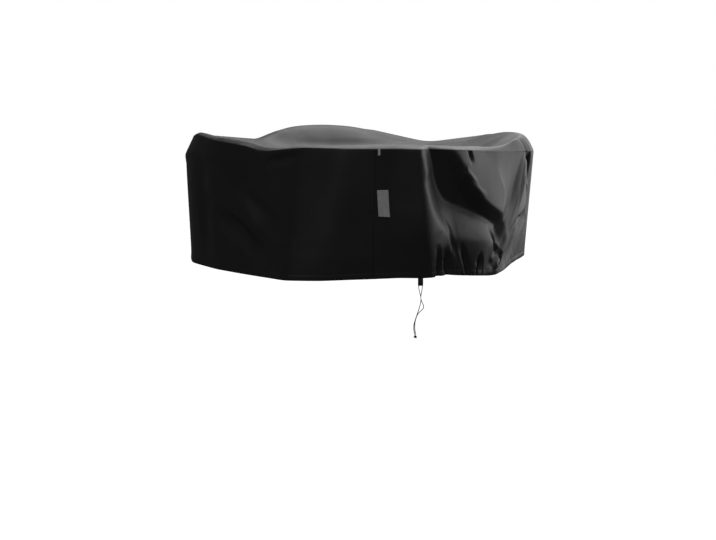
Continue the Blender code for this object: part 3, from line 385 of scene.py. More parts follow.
def wall(along, share, fine=True):
    """The wall's outer face: the flat wall plus its outward vector times the sum of the folds and the
    sewing."""
    seam, hem, _ = plan(along)
    drop = np.linalg.norm(hem - seam, axis=-1)
    out = wall_folds(along, share * drop, MAIN_FOLDS)
    if fine:
        out = out + wall_folds(along, share * drop, CREASES) + sewing(along, share * drop, (1 - share) * drop)
    return flat_wall(along, share) + wall_outward(along, share) * out[..., None]


def normals(points, wrap=False):
    """Unit normals of a grid: the way down it crossed with the way along it."""
    across = np.roll(points, -1, axis=0) - np.roll(points, 1, axis=0) if wrap else np.gradient(points, axis=0)
    out = np.cross(np.gradient(points, axis=1), across)
    return out / np.linalg.norm(out, axis=-1, keepdims=True)


def grid_mesh(name, points, patches, uv=None, smooth=True):
    """A mesh object from arrays: points, patches of faces that each name as many points, and a UV pair for
    each point. Points that no face names are left out."""
    corners = np.concatenate([faces.ravel() for faces in patches])
    sizes = np.concatenate([np.full(len(faces), faces.shape[1]) for faces in patches])
    named, corners = np.unique(corners, return_inverse=True)
    points, uv = points[named], None if uv is None else uv[named]
    mesh = bpy.data.meshes.new(name)
    mesh.vertices.add(len(points))
    mesh.vertices.foreach_set("co", np.ascontiguousarray(points, np.float32).ravel())
    mesh.loops.add(len(corners))
    mesh.loops.foreach_set("vertex_index", np.ascontiguousarray(corners, np.int32))
    mesh.polygons.add(len(sizes))
    mesh.polygons.foreach_set("loop_start", np.concatenate([[0], np.cumsum(sizes)[:-1]]).astype(np.int32))
    if uv is not None:
        layer = mesh.uv_layers.new(name="cloth")
        layer.data.foreach_set("uv", np.ascontiguousarray(uv[corners], np.float32).ravel())
    mesh.update(calc_edges=True)
    mesh.validate()
    mesh.polygons.foreach_set("use_smooth", np.full(len(mesh.polygons), smooth))
    made = bpy.data.objects.new(name, mesh)
    bpy.context.scene.collection.objects.link(made)
    return made


def two_skins(name, outer, inner, u, v, wrap=False):
    """A closed sheet between two grids of points, with UV (u, v) in metres on both skins. Its edges are
    closed with faces; with wrap the grid goes round and a fan of triangles closes it inside its first
    row."""
    wide, tall = outer.shape[:2]
    number = np.arange(2 * wide * tall).reshape(2, wide, tall)
    if wrap:
        number = np.concatenate([number, number[:, :1]], axis=1)
    outside, inside = number
    patches = [(outside, 1), (inside, -1)]
    rims = [(outside[:, -1], inside[:, -1], 1)]
    if not wrap:
        rims += [(outside[:, 0], inside[:, 0], -1), (outside[0], inside[0], 1), (outside[-1], inside[-1], -1)]
    faces = []
    for patch, side in patches:
        if wrap:
            faces.append(np.stack([np.full(wide, patch[0, 0]), patch[:-1, 1], patch[1:, 1]][::side], axis=-1))
            patch = patch[:, 1:]
        corners = [patch[:-1, :-1], patch[:-1, 1:], patch[1:, 1:], patch[1:, :-1]][::side]
        faces.append(np.stack(corners, axis=-1).reshape(-1, 4))
    for a, b, side in rims:
        faces.append(np.stack([a[:-1], b[:-1], b[1:], a[1:]][::side], axis=-1))
    points = np.concatenate([outer, inner]).reshape(-1, 3)
    uv = np.tile(np.stack([u, v], axis=-1).reshape(-1, 2), (2, 1))
    return grid_mesh(name, points, faces, uv)


class Link:
    """A node's output socket. Arithmetic on it adds Math nodes, so a pattern is written as a formula."""

    def __init__(self, tree, socket):
        self.tree, self.socket = tree, socket

    def maths(self, operation, *others):
        return self.tree.add("ShaderNodeMath", {"operation": operation}, dict(enumerate(others)))

    def __add__(self, other):
        return self.maths("ADD", self, other)

    def __sub__(self, other):
        return self.maths("SUBTRACT", self, other)

    def __mul__(self, other):
        return self.maths("MULTIPLY", self, other)

    def sine(self):
        return self.maths("SINE", self)


class Finish:
    """A material under construction: one Principled shader, and nodes that are added from their inputs."""

    def __init__(self, name, colour, roughness, **fixed):
        self.material = bpy.data.materials.new(name)
        self.material.use_nodes = True
        self.nodes = self.material.node_tree.nodes
        self.links = self.material.node_tree.links
        self.shader = self.nodes["Principled BSDF"]
        self.shader.inputs["Base Color"].default_value = (*colour, 1.0)
        self.shader.inputs["Roughness"].default_value = roughness
        for socket, value in fixed.items():
            self.shader.inputs[socket.replace("_", " ")].default_value = value

    def add(self, kind, settings, values, output=0):
        """A new node of a kind. Settings are made first: a ramp's stops, or any property. Values are numbers,
        vectors or links, by the socket's name or number."""
        node = self.nodes.new(kind)
        for setting, value in settings.items():
            if setting == "stops":
                ramp = node.color_ramp
                while len(ramp.elements) < len(value):
                    ramp.elements.new(1.0)
                for element, (position, colour) in zip(ramp.elements, value):
                    element.position, element.color = position, (*colour, 1.0)
            else:
                setattr(node, setting, value)
        for socket, value in values.items():
            self.put(node.inputs[socket], value)
        return Link(self, node.outputs[output])

    def put(self, socket, value):
        if isinstance(value, Link):
            self.links.new(value.socket, socket)
        else:
            socket.default_value = value

    def feed(self, socket, value):
        self.put(self.shader.inputs[socket], value)

    def where(self, source="Object"):
        """The place on the piece: Object for metres in space, UV for metres along the cloth."""
        return self.add("ShaderNodeTexCoord", {}, {}, output=source)

    def parts(self, vector):
        split = self.nodes.new("ShaderNodeSeparateXYZ")
        self.put(split.inputs[0], vector)
        return [Link(self, split.outputs[k]) for k in range(3)]

    def noise(self, place, scale, detail=3.0, roughness=0.5):
        values = {"Vector": place, "Scale": scale, "Detail": detail, "Roughness": roughness}
        return self.add("ShaderNodeTexNoise", {}, values)

    def ramp(self, value, *stops):
        """Colours against a value: each stop is (position, (red, green, blue))."""
        return self.add("ShaderNodeValToRGB", {"stops": stops}, {0: value})

    def level(self, value, low, high):
        """A value from 0 to 1 stretched to run from low to high."""
        return value * (high - low) + low

    def bump(self, height, distance, strength=1.0, under=None):
        values = {"Height": height, "Distance": distance, "Strength": strength}
        if under is not None:
            values["Normal"] = under
        return self.add("ShaderNodeBump", {}, values)


def coated_polyester():
    """Black plain-weave polyester with a thin coating: a fine weave, faint handling creases and uneven
    gloss."""
    cloth = Finish("coated_polyester", (0.0115, 0.0115, 0.0120), 0.42, Specular_IOR_Level=0.5)
    uv = cloth.where("UV")
    u, v, _ = cloth.parts(uv)
    threads = 2 * math.pi / 0.0009
    weave = (u * threads).sine() * (v * threads).sine()
    creased = cloth.noise(uv, 26.0, 4.0, 0.55)
    crumple = cloth.noise(uv, 95.0, 3.0, 0.6)
    rubbed = cloth.noise(uv, 5.0, 3.0, 0.5)
    dark, light = (0.0095, 0.0095, 0.0100), (0.0140, 0.0140, 0.0146)
    cloth.feed("Base Color", cloth.ramp(rubbed, (0.35, dark), (0.70, light)))
    cloth.feed("Roughness", cloth.level(rubbed * 0.6 + crumple * 0.4, 0.36, 0.52))
    soft = cloth.bump(creased, 0.0012, 0.35)
    fine = cloth.bump(crumple, 0.0003, 0.25, under=soft)
    cloth.feed("Normal", cloth.bump(weave, 0.00004, 0.5, under=fine))
    return cloth.material


COATED_POLYESTER = coated_polyester()


def wall_half(name, node, start, end):
    """One half of the wall as a grid: columns every few millimetres, rows closer together at the seam and
    hem."""
    count = math.ceil((end - start) / COLUMN_STEP)
    edges = np.array(NEAR_END)
    middle = np.linspace(start + FIRST_COLUMN, end - FIRST_COLUMN, count)
    along = np.concatenate([start + edges, middle, end - edges[::-1]])
    seam, hem, _ = plan(along)
    drop = np.linalg.norm(hem - seam, axis=-1)[:, None]
    between = NEAR_SEAM[-1] + (drop - NEAR_HEM[0] - NEAR_SEAM[-1]) * np.linspace(0, 1, WALL_ROWS + 2)[1:-1]
    down = np.hstack([np.tile(NEAR_SEAM, (len(along), 1)), between, drop - NEAR_HEM])
    grid = np.repeat(along[:, None], down.shape[1], axis=1)
    outer = wall(grid, down / drop)
    inner = outer - CLOTH * normals(outer)
    for edge, into, side in ((0, 2, -1), (-1, -3, 1)):
        out = wall_outward(grid[edge], down[edge] / drop[edge])
        way = outer[into] - outer[edge]
        way /= np.linalg.norm(way, axis=-1, keepdims=True)
        deep = SEAM_ALLOWANCE * np.array([0.25, 0.6, 1.0])[::side, None, None]
        inner[edge] = outer[edge] + CLOTH * (way - out)
        turned = [outer[edge] - out * deep, outer[edge] + CLOTH * way - out * deep]
        places = (grid[edge] + side * deep[..., 0], np.tile(down[edge], (3, 1)))
        grids = zip((outer, inner, grid, down), (*turned, *places))
        outer, inner, grid, down = (np.concatenate([old, new][::side]) for old, new in grids)
    piece = two_skins(name, outer, inner, grid, down)
    piece.data.materials.append(COATED_POLYESTER)
    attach(piece, "root")
    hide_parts(node)
    return piece


SEAM_HALF_GAP = 0.0002
wall_half("wall_right", "skirt_right", SEAM_HALF_GAP, BACK_SEAM - SEAM_HALF_GAP)
wall_half("wall_left", "skirt_left", BACK_SEAM + SEAM_HALF_GAP, ROUND - SEAM_HALF_GAP)

# -----------------------------------------------------------------------------
# The top panel. One piece of the same cloth, flat in the middle, that rises to four crests and turns down
# to the seam beyond them. Between two crests it is pulled tight, so straight soft lines run from one to the
# next.

FLAT_SHARE = 0.60  # the flat middle, as a share of the way out to the crest
CREST_SHAPE = 0.65  # how far the rise from the flat to the crest is an S, and the rest a straight slope
FLAT_HEIGHT = 0.002  # the flat middle's upper face
TOP_FOLDS = [
    Fold("valley to the right crest", 0.045, 0.035, 0.40,
         [(0.440, -0.380, -0.004), (0.580, -0.250, -0.010), (0.690, -0.080, -0.005)]),
    Fold("taut line, front right", 0.050, 0.050, 0.30,
         [(0.160, -0.600, 0.003), (0.400, -0.410, 0.009), (0.640, -0.200, 0.005)]),
    Fold("taut line, back right", 0.050, 0.050, 0.30,
         [(0.650, 0.230, 0.004), (0.440, 0.440, 0.008), (0.230, 0.650, 0.004)]),
    Fold("taut line, back left", 0.050, 0.050, 0.30,
         [(-0.240, 0.640, 0.004), (-0.430, 0.440, 0.008), (-0.630, 0.230, 0.004)]),
    Fold("taut line, front left", 0.050, 0.050, 0.30,
         [(-0.600, -0.200, 0.004), (-0.450, -0.380, 0.008), (-0.220, -0.600, 0.004)]),
    Fold("crease inside the front crest", 0.040, 0.050, 0.40,
         [(-0.220, -0.590, -0.002), (0.000, -0.585, -0.008), (0.160, -0.560, -0.002)]),
]

# The top panel's small creases, which only the cloth's surface has.
TOP_CREASES = [
    Fold("tuck beside the right ear", 0.022, 0.036, 0.20,
         [(0.590, -0.285, -0.002), (0.653, -0.214, -0.007), (0.720, -0.145, -0.009),
          (0.738, -0.105, -0.002)]),
    Fold("line on the right ear", 0.022, 0.034, 0.25,
         [(0.475, 0.355, -0.002), (0.528, 0.300, -0.006), (0.582, 0.234, -0.006), (0.609, 0.167, -0.002)]),
    Fold("foot of the far hump", 0.030, 0.040, 0.40,
         [(-0.158, 0.528, -0.002), (-0.064, 0.530, -0.005), (0.080, 0.526, -0.005),
          (0.222, 0.505, -0.002)]),
]


def top(along, ring):
    """The top panel's upper face: ring 0 is its middle, 1 its crest and 2 the seam. The height is flat,
    then rises as a straight line mixed with an S, 3s^2 - 2s^3, to the crest, and falls from there to the
    seam as s to the power of the place's shoulder."""
    seam, _, numbers = plan(along)
    inset, crest, shoulder = numbers[..., 0], numbers[..., 1], numbers[..., 2]
    out = np.hypot(seam[..., 0], seam[..., 1])
    crest_point = seam[..., :2] * (1 - inset / out)[..., None]
    edge = wall(along, np.zeros_like(along), fine=False)
    rise = np.clip((ring - FLAT_SHARE) / (1 - FLAT_SHARE), 0, 1)
    rise = (1 - CREST_SHAPE) * rise + CREST_SHAPE * rise * rise * (3 - 2 * rise)
    fall = np.clip(ring - 1, 0, 1)
    level = crest_point * np.minimum(ring, 1)[..., None] + (edge[..., :2] - crest_point) * fall[..., None]
    height = FLAT_HEIGHT + (crest - FLAT_HEIGHT) * rise + (edge[..., 2] - crest) * fall**shoulder
    folds = sum(fold_height(fold, level[..., 0], level[..., 1]) for fold in TOP_FOLDS + TOP_CREASES)
    height = height + folds * np.minimum(rise * 4, 1) * (1 - fall)
    return np.concatenate([level, height[..., None]], axis=-1)


def top_cloth():
    """The top panel as a grid: columns round the seam, and rings that lie closer together towards the
    seam."""
    along = np.linspace(0, ROUND, math.ceil(ROUND / COLUMN_STEP), endpoint=False)
    rings = np.concatenate([
        [0.0], np.linspace(0.06, 0.5, 7, endpoint=False), np.linspace(0.5, 1.0, 18, endpoint=False),
        np.linspace(1.0, 1.85, 14, endpoint=False), [1.85, 1.90, 1.94, 1.97, 1.985, 2.0],
    ])
    grid, ring = np.meshgrid(along, rings, indexing="ij")
    outer = top(grid, ring)
    across = normals(outer, wrap=True)
    from_seam = np.linalg.norm(outer - outer[:, -1:], axis=-1)
    relief = -SEAM_GROOVE * bell(from_seam, SEAM_GROOVE_WIDTH)
    relief += PUCKER * uneven(grid, PUCKER_PITCH, 1) * bell(from_seam - TOP_STITCH_DOWN, PUCKER_REACH)
    outer = outer + across * relief[..., None]
    inner = outer - CLOTH * normals(outer, wrap=True)
    seam, hem, _ = plan(grid[:, :3])
    behind = np.array([0.0002, 0.35, 1.0]) * SEAM_ALLOWANCE
    share = behind / np.linalg.norm(hem - seam, axis=-1)
    wall_face, out = wall(grid[:, :3], share), wall_outward(grid[:, :3], share)
    outer = np.concatenate([outer, wall_face - out * (CLOTH + GAP)], axis=1)
    inner = np.concatenate([inner, wall_face - out * (2 * CLOTH + GAP)], axis=1)
    return two_skins("top_cloth", outer, inner, outer[..., 0], outer[..., 1], wrap=True)


piece = top_cloth()
piece.data.materials.append(COATED_POLYESTER)
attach(piece, "root")
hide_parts("top_panel")

# -----------------------------------------------------------------------------
# What is sewn on: a blank satin label beside the front seam, a loop of light tape in the top of that seam,
# and the rows of stitches. All of them follow the wall's own surface.

LABEL_CORNERS = ((0.008, 0.160), (0.052, 0.159), (0.061, 0.266), (0.015, 0.263))  # metres round and down
LABEL_THICK, LABEL_LIFT, LABEL_OFF = 0.0010, 0.0025, 0.0013
LOOP_ROUND, LOOP_TAPE, LOOP_LONG = (0.010, 0.018), 0.0008, 0.024
LOOP_OFF, LOOP_DOWN = 0.0014, 0.0006
STITCH_LONG, STITCH_PITCH, STITCH_THICK = 0.0029, 0.0040, 0.00036


def on_wall(along, down, fine=False):
    """Points on the wall's outer face and the unit vectors out from it, for places given in metres down."""
    seam, hem, _ = plan(along)
    share = down / np.linalg.norm(hem - seam, axis=-1)
    step = 0.001
    onwards = wall(along + step, share, fine) - wall(along - step, share, fine)
    downwards = wall(along, share + step, fine) - wall(along, share - step, fine)
    out = np.cross(downwards, onwards)
    return wall(along, share, fine), out / np.linalg.norm(out, axis=-1, keepdims=True)


def label_satin():
    """Light grey satin: long floats one over the other, a soft sheen and a little dust."""
    satin = Finish("label_satin", (0.40, 0.41, 0.40), 0.42, Coat_Weight=0.06)
    uv = satin.where("UV")
    u, v, _ = satin.parts(uv)
    floats = (u * (2 * math.pi / 0.0006) + (v * (2 * math.pi / 0.0021)).sine() * 1.2).sine()
    dusty = satin.noise(uv, 60.0, 3.0, 0.6)
    satin.feed("Base Color", satin.ramp(dusty, (0.30, (0.33, 0.34, 0.33)), (0.70, (0.43, 0.44, 0.43))))
    satin.feed("Roughness", satin.level(dusty, 0.34, 0.56))
    satin.feed("Normal", satin.bump(floats, 0.00006, 0.5, under=satin.bump(dusty, 0.0004, 0.3)))
    return satin.material


def light_tape():
    """Off-white grosgrain tape: ribs across it, greyed a little at random."""
    tape = Finish("light_tape", (0.55, 0.55, 0.53), 0.75)
    uv = tape.where("UV")
    _, v, _ = tape.parts(uv)
    ribs = (v * (2 * math.pi / 0.0011)).sine()
    worn = tape.noise(uv, 180.0, 3.0, 0.6)
    tape.feed("Base Color", tape.ramp(worn, (0.30, (0.44, 0.44, 0.42)), (0.70, (0.60, 0.60, 0.58))))
    tape.feed("Normal", tape.bump(ribs, 0.00012, 0.8))
    return tape.material


def black_thread():
    """Twisted black thread, a shade lighter than the cloth."""
    thread = Finish("black_thread", (0.012, 0.012, 0.013), 0.60)
    place = thread.where()
    ply = thread.noise(place, 2600.0, 2.0, 0.5)
    dark, light = (0.009, 0.009, 0.010), (0.018, 0.018, 0.019)
    thread.feed("Base Color", thread.ramp(ply, (0.30, dark), (0.70, light)))
    thread.feed("Normal", thread.bump(ply, 0.00008, 0.6))
    return thread.material


def label():
    """The label as a grid between its four corners: flat at its sewn left edge, lifted by the square of the
    way across, with a slow wave down it and its upper and lower edges turned under."""
    a, b, c, d = (np.array(corner) for corner in LABEL_CORNERS)
    across, down = np.meshgrid(np.linspace(0, 1, 33), np.linspace(0, 1, 57), indexing="ij")
    upper, lower = a + (b - a) * across[..., None], d + (c - d) * across[..., None]
    place = upper + (lower - upper) * down[..., None]
    face, out = on_wall(place[..., 0], place[..., 1])
    lift = LABEL_OFF + LABEL_LIFT * across**2 * (1 + 0.25 * np.sin(7 * down + 0.6))
    turned_under = 0.0003 * (bell(down, 0.055) + bell(down - 1, 0.055))
    sewn = -0.0004 * bell(across - 0.07, 0.03)
    inner = face + out * lift[..., None]
    outer = inner + out * (LABEL_THICK + turned_under + sewn)[..., None]
    return two_skins("label_cloth", outer, inner, place[..., 0], place[..., 1])


piece = label()
piece.data.materials.append(label_satin())
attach(piece, "root")
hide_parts("label")


def loop():
    """A tape folded in two: its path, (metres out, metres down), goes down, round half a circle and up
    again."""
    radius = 1.5 * LOOP_TAPE
    turn = np.linspace(0, math.pi, 17)
    sides = np.linspace(0, LOOP_LONG - radius, 14)[:-1]
    path = np.concatenate([
        np.stack([np.full(13, 2 * radius), sides], axis=1),
        np.stack([radius + radius * np.cos(turn), LOOP_LONG - radius + radius * np.sin(turn)], axis=1),
        np.stack([np.zeros(13), sides[::-1]], axis=1),
    ])
    ways = np.gradient(path, axis=0)
    side = np.stack([ways[:, 1], -ways[:, 0]], axis=1) / np.linalg.norm(ways, axis=1, keepdims=True)
    far = np.concatenate([[0], np.cumsum(np.linalg.norm(np.diff(path, axis=0), axis=1))])
    grids = []
    for edge in (path + side * LOOP_TAPE / 2, path - side * LOOP_TAPE / 2):
        along, out = np.meshgrid(np.linspace(*LOOP_ROUND, 9), edge[:, 0], indexing="ij")
        down = np.broadcast_to(edge[:, 1], out.shape)
        face, normal = on_wall(along, LOOP_DOWN + down)
        grids.append(face + normal * (out + LOOP_OFF + LOOP_TAPE / 2)[..., None])
    return two_skins("loop_tape", grids[0], grids[1], along, np.broadcast_to(far, along.shape))


piece = loop()
piece.data.materials.append(light_tape())
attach(piece, "root")
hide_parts("seam_loop")


def stitches(along, down):
    """A row of stitches along places on the wall: each is a short thread that rises out of the cloth and
    dips back, its height and thickness following sin(pi t) along it."""
    at, out = on_wall(along, down, fine=True)
    far = np.concatenate([[0], np.cumsum(np.linalg.norm(np.diff(at, axis=0), axis=1))])
    count = int(far[-1] / STITCH_PITCH)
    t, turn = np.linspace(0, 1, 4), np.arange(4) * math.pi / 2
    place = (np.arange(count)[:, None] * STITCH_PITCH + 0.0005 + STITCH_LONG * t).ravel()
    middle, lift = (
        np.stack([np.interp(place, far, grid[:, k]) for k in range(3)], axis=1) for grid in (at, out)
    )
    rise = np.tile(np.sin(math.pi * (0.12 + 0.76 * t)), count)
    way = np.gradient(middle, axis=0)
    beside = np.cross(way, lift)
    beside /= np.linalg.norm(beside, axis=1, keepdims=True)
    middle = middle + lift * ((rise - 0.55) * STITCH_THICK)[:, None]
    thick = (STITCH_THICK * (0.45 + 0.55 * rise))[:, None, None]
    rings = middle[:, None] + thick * (
        np.cos(turn)[None, :, None] * lift[:, None] + np.sin(turn)[None, :, None] * beside[:, None]
    )
    number = np.arange(count * 16).reshape(count, 4, 4)
    after = np.roll(number, -1, axis=2)
    sides = np.stack([number[:, :-1], number[:, 1:], after[:, 1:], after[:, :-1]], axis=-1).reshape(-1, 4)
    return rings.reshape(-1, 3), [sides, number[:, 0], number[:, -1, ::-1]]


def all_stitches():
    """Rows beside the front and back seams, under the top seam, and over the hem's tunnel."""
    round_it = np.arange(0, ROUND, 0.004)
    seam, hem, _ = plan(round_it)
    drop = np.linalg.norm(hem - seam, axis=-1)
    rows = [(round_it, np.full_like(round_it, TOP_STITCH_DOWN)), (round_it, drop - HEM_STITCH_UP)]
    for at in (TOP_STITCH_DOWN, BACK_SEAM + TOP_STITCH_DOWN):
        seam, hem, _ = plan(np.array(at))
        down = np.arange(0.008, np.linalg.norm(hem - seam) - 0.003, 0.004)
        rows.append((np.full_like(down, at), down))
    points, patches, count = [], [], 0
    for along, down in rows:
        made, faces = stitches(along, down)
        points.append(made)
        patches += [patch + count for patch in faces]
        count += len(made)
    return grid_mesh("stitches", np.concatenate(points), patches)


THREAD = black_thread()
piece = all_stitches()
piece.data.materials.append(THREAD)
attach(piece, "root")

# -----------------------------------------------------------------------------
# The drawcord's free ends. Two braided cords leave the hem, pass down through a flat two-hole lock with a
# push button, lie loosely over each other and end in one knot. Points are in the lock's own directions,
# from the middle of its top: metres across, metres outwards, metres down.

CORD_DIAMETER, CORD_LENGTH_LEFT, CORD_LENGTH_RIGHT = 0.003, 0.250, 0.262
LOCK_ROUND, LOCK_INSET, LOCK_TURN = 0.178, 0.006, math.radians(-13)
LOCK_SIZE, LOCK_EDGE = (0.021, 0.011, 0.030), 0.0014
LOCK_HOLE_AT, LOCK_HOLE = 0.007, 0.0039
BUTTON_RADIUS, BUTTON_OUT, BUTTON_IN = 0.0042, 0.0018, 0.0035
KNOT_AT, KNOT_TUBE = (-0.0195, -0.0021, 0.2350), 0.0019
LEFT_END = [
    (-0.0070, 0, -0.014), (-0.0070, 0, 0.000), (-0.0070, 0, 0.015), (-0.0070, 0, 0.031), (-0.0055, 0, 0.048),
    (-0.0015, 0, 0.063), (0.0015, 0, 0.076), (0.0018, 0, 0.090), (-0.0010, 0, 0.106), (-0.0055, 0, 0.123),
    (-0.0110, 0, 0.140), (-0.0165, 0, 0.157), (-0.0220, 0, 0.174), (-0.0255, 0, 0.190), (-0.0255, 0, 0.206),
    (-0.0235, 0, 0.218), (-0.0215, 0, 0.228),
]
RIGHT_END = [
    (0.0070, 0, -0.014), (0.0070, 0, 0.000), (0.0070, 0, 0.015), (0.0070, 0, 0.031), (0.0060, -0.0025, 0.048),
    (0.0035, -0.0045, 0.063), (0.0018, -0.0048, 0.077), (0.0040, -0.0048, 0.091), (0.0090, -0.0045, 0.102),
    (0.0130, -0.0045, 0.113), (0.0110, -0.0045, 0.123), (0.0035, -0.0048, 0.131), (-0.0050, -0.0048, 0.139),
    (-0.0120, -0.0048, 0.149), (-0.0175, -0.0048, 0.164), (-0.0212, -0.0047, 0.182),
    (-0.0217, -0.0046, 0.202),
    (-0.0198, -0.0044, 0.217), (-0.0175, -0.0042, 0.228),
]

lock_seam, lock_hem, _ = plan(np.array(LOCK_ROUND))
hem_point, hem_out = on_wall(np.array(LOCK_ROUND), np.linalg.norm(lock_hem - lock_seam))
LOCK_TOP = Matrix.Translation(Vector(hem_point - hem_out * LOCK_INSET - [0, 0, 0.001])) @ Matrix.Rotation(
    LOCK_TURN, 4, "Z"
)


def by_lock(points):
    """Points given in the lock's own directions (across, outwards, down), in the shared frame."""
    points = np.array(points, float) * (1, -1, -1)
    turn = np.array(LOCK_TOP)
    return points @ turn[:3, :3].T + turn[:3, 3]


def black_plastic():
    """Moulded black plastic: fine grain, a little uneven gloss and grey scuffs."""
    plastic = Finish("black_plastic", (0.014, 0.014, 0.015), 0.32)
    place = plastic.where()
    grain, scuffs = plastic.noise(place, 2200.0, 2.0, 0.6), plastic.noise(place, 190.0, 4.0, 0.65)
    dark, light = (0.012, 0.012, 0.013), (0.035, 0.035, 0.036)
    plastic.feed("Base Color", plastic.ramp(scuffs, (0.45, dark), (0.80, light)))
    plastic.feed("Roughness", plastic.level(scuffs, 0.22, 0.52))
    plastic.feed("Normal", plastic.bump(grain, 0.00005, 0.4))
    return plastic.material


def black_cord():
    """Braided black polyester cord: strands cross at both slants, each with its own fibres. Its colour is
    darker in the sunk gaps between strands, which is painted shade on top of the bump's relief."""
    braid = Finish("black_cord", (0.020, 0.020, 0.021), 0.70)
    uv = braid.where("UV")
    u, v, _ = braid.parts(uv)
    around, onwards = u * (2 * math.pi * 8), v * (2 * math.pi / 0.0042)
    braid_relief_and_shade = (around + onwards).sine() * (around - onwards).sine()
    fibres = braid.noise(uv, 900.0, 2.0, 0.6)
    dark, light = (0.010, 0.010, 0.011), (0.034, 0.034, 0.036)
    # Painted shade: the base colour darkens where the braid's relief sinks between strands.
    braid.feed("Base Color", braid.ramp(braid_relief_and_shade * 0.35 + 0.5, (0.15, dark), (0.85, light)))
    braid.feed("Roughness", braid.level(fibres, 0.55, 0.85))
    braid.feed("Normal", braid.bump(braid_relief_and_shade + fibres * 0.4, 0.00018, 0.8))
    return braid.material


def tube(name, path, radius, around=20, closed=False):
    """A round tube along a path, its strands standing out as R (0.97 + 0.06 |sin(4a + kx) sin(4a - kx)|),
    closed at both ends, or joined to itself. UV is the share of the way round and the metres along."""
    ways = np.roll(path, -1, axis=0) - np.roll(path, 1, axis=0) if closed else np.gradient(path, axis=0)
    ways /= np.linalg.norm(ways, axis=1, keepdims=True)
    side = [np.cross(ways[0], [0.31, 0.77, 0.55])]
    for way in ways:
        side.append(side[-1] - way * (side[-1] @ way))
        side[-1] /= np.linalg.norm(side[-1])
    side = np.array(side[1:])
    above = np.cross(ways, side)
    far = np.concatenate([[0], np.cumsum(np.linalg.norm(np.diff(path, axis=0), axis=1))])
    turn = np.arange(around) * 2 * math.pi / around
    strands = np.abs(np.sin(4 * turn + 750 * far[:, None]) * np.sin(4 * turn - 750 * far[:, None]))
    thick = radius * (0.97 + 0.06 * strands)[..., None]
    rings = path[:, None] + thick * (
        np.cos(turn)[None, :, None] * side[:, None] + np.sin(turn)[None, :, None] * above[:, None]
    )
    n = len(path)
    number = np.arange(n * around).reshape(n, around)
    if closed:
        shift = int(round(math.atan2(side[0] @ above[-1], side[0] @ side[-1]) / (2 * math.pi / around)))
        number = np.vstack([number, np.roll(number[:1], -shift, axis=1)])
    after = np.roll(number, -1, axis=1)
    faces = [np.stack([number[:-1], after[:-1], after[1:], number[1:]], axis=-1).reshape(-1, 4)]
    points = rings.reshape(-1, 3)
    if not closed:
        points = np.vstack([points, path[:1], path[-1:]])
        faces.append(np.stack([np.full(around, n * around), after[0], number[0]], axis=-1))
        faces.append(np.stack([np.full(around, n * around + 1), number[-1], after[-1]], axis=-1))
    uv = np.stack(np.broadcast_arrays(np.arange(around) / around, far[:, None]), axis=-1).reshape(-1, 2)
    uv = np.vstack([uv, [[0.5, far[0]], [0.5, far[-1]]]])[: len(points)]
    return grid_mesh(name, points, faces, uv)


def evenly(points, count):
    """The same line with points evenly along it."""
    far = np.concatenate([[0], np.cumsum(np.linalg.norm(np.diff(points, axis=0), axis=1))])
    return np.stack([np.interp(np.linspace(0, far[-1], count), far, points[:, k]) for k in range(3)], axis=1)


def lock_body():
    """The lock's barrel: a flat outline with two round holes, drawn out to its height with rounded edges."""
    outline = bpy.data.curves.new("outline", "CURVE")
    outline.dimensions, outline.fill_mode = "2D", "BOTH"
    outline.extrude = LOCK_SIZE[2] / 2 - LOCK_EDGE
    outline.bevel_depth, outline.bevel_resolution = LOCK_EDGE, 5
    outline.offset = -LOCK_EDGE
    turn = np.arange(72) * 2 * math.pi / 72
    loops = [(0, LOCK_SIZE[0] / 2, LOCK_SIZE[1] / 2, 0.7)]
    loops += [(side * LOCK_HOLE_AT, LOCK_HOLE / 2, LOCK_HOLE / 2, 1.0) for side in (-1, 1)]
    for middle, wide, deep, power in loops:
        spline = outline.splines.new("POLY")
        spline.points.add(len(turn) - 1)
        spline.use_cyclic_u = True
        for point, a in zip(spline.points, turn):
            across = middle + wide * math.copysign(abs(math.cos(a)) ** power, math.cos(a))
            outwards = deep * math.copysign(abs(math.sin(a)) ** power, math.sin(a))
            point.co = (across, outwards, 0, 1)
    made = bpy.data.objects.new("outline", outline)
    bpy.context.scene.collection.objects.link(made)
    bpy.context.view_layer.update()
    mesh = bpy.data.meshes.new_from_object(made.evaluated_get(bpy.context.evaluated_depsgraph_get()))
    bpy.data.objects.remove(made)
    mesh.name = "lock_body"
    place = LOCK_TOP @ Matrix.Translation((0, 0, -LOCK_SIZE[2] / 2))
    mesh.transform(place)
    shape = bmesh.new()
    shape.from_mesh(mesh)
    bmesh.ops.remove_doubles(shape, verts=shape.verts, dist=1e-6)
    bmesh.ops.recalc_face_normals(shape, faces=shape.faces)
    shape.to_mesh(mesh)
    shape.free()
    mesh.shade_smooth()
    mesh.set_sharp_from_angle(angle=math.radians(40))
    body = bpy.data.objects.new("lock_body", mesh)
    bpy.context.scene.collection.objects.link(body)
    return body


def turned(name, profile, around=48):
    """A turned piece on the button's axis: a profile of (radius, metres out from the lock's front)."""
    turn = np.arange(around) * 2 * math.pi / around
    profile = np.array(profile)
    across, tall = np.cos(turn) * profile[:, :1], np.sin(turn) * profile[:, :1]
    outwards = LOCK_SIZE[1] / 2 + np.broadcast_to(profile[:, 1:], across.shape)
    points = by_lock(np.stack([across, outwards, LOCK_SIZE[2] / 2 - tall], axis=-1).reshape(-1, 3))
    number = np.arange(across.size).reshape(across.shape)
    after = np.roll(number, -1, axis=1)
    faces = [np.stack([number[:-1], number[1:], after[1:], after[:-1]], axis=-1).reshape(-1, 4)]
    faces += [number[:1], number[-1:, ::-1]]
    return grid_mesh(name, points, faces)


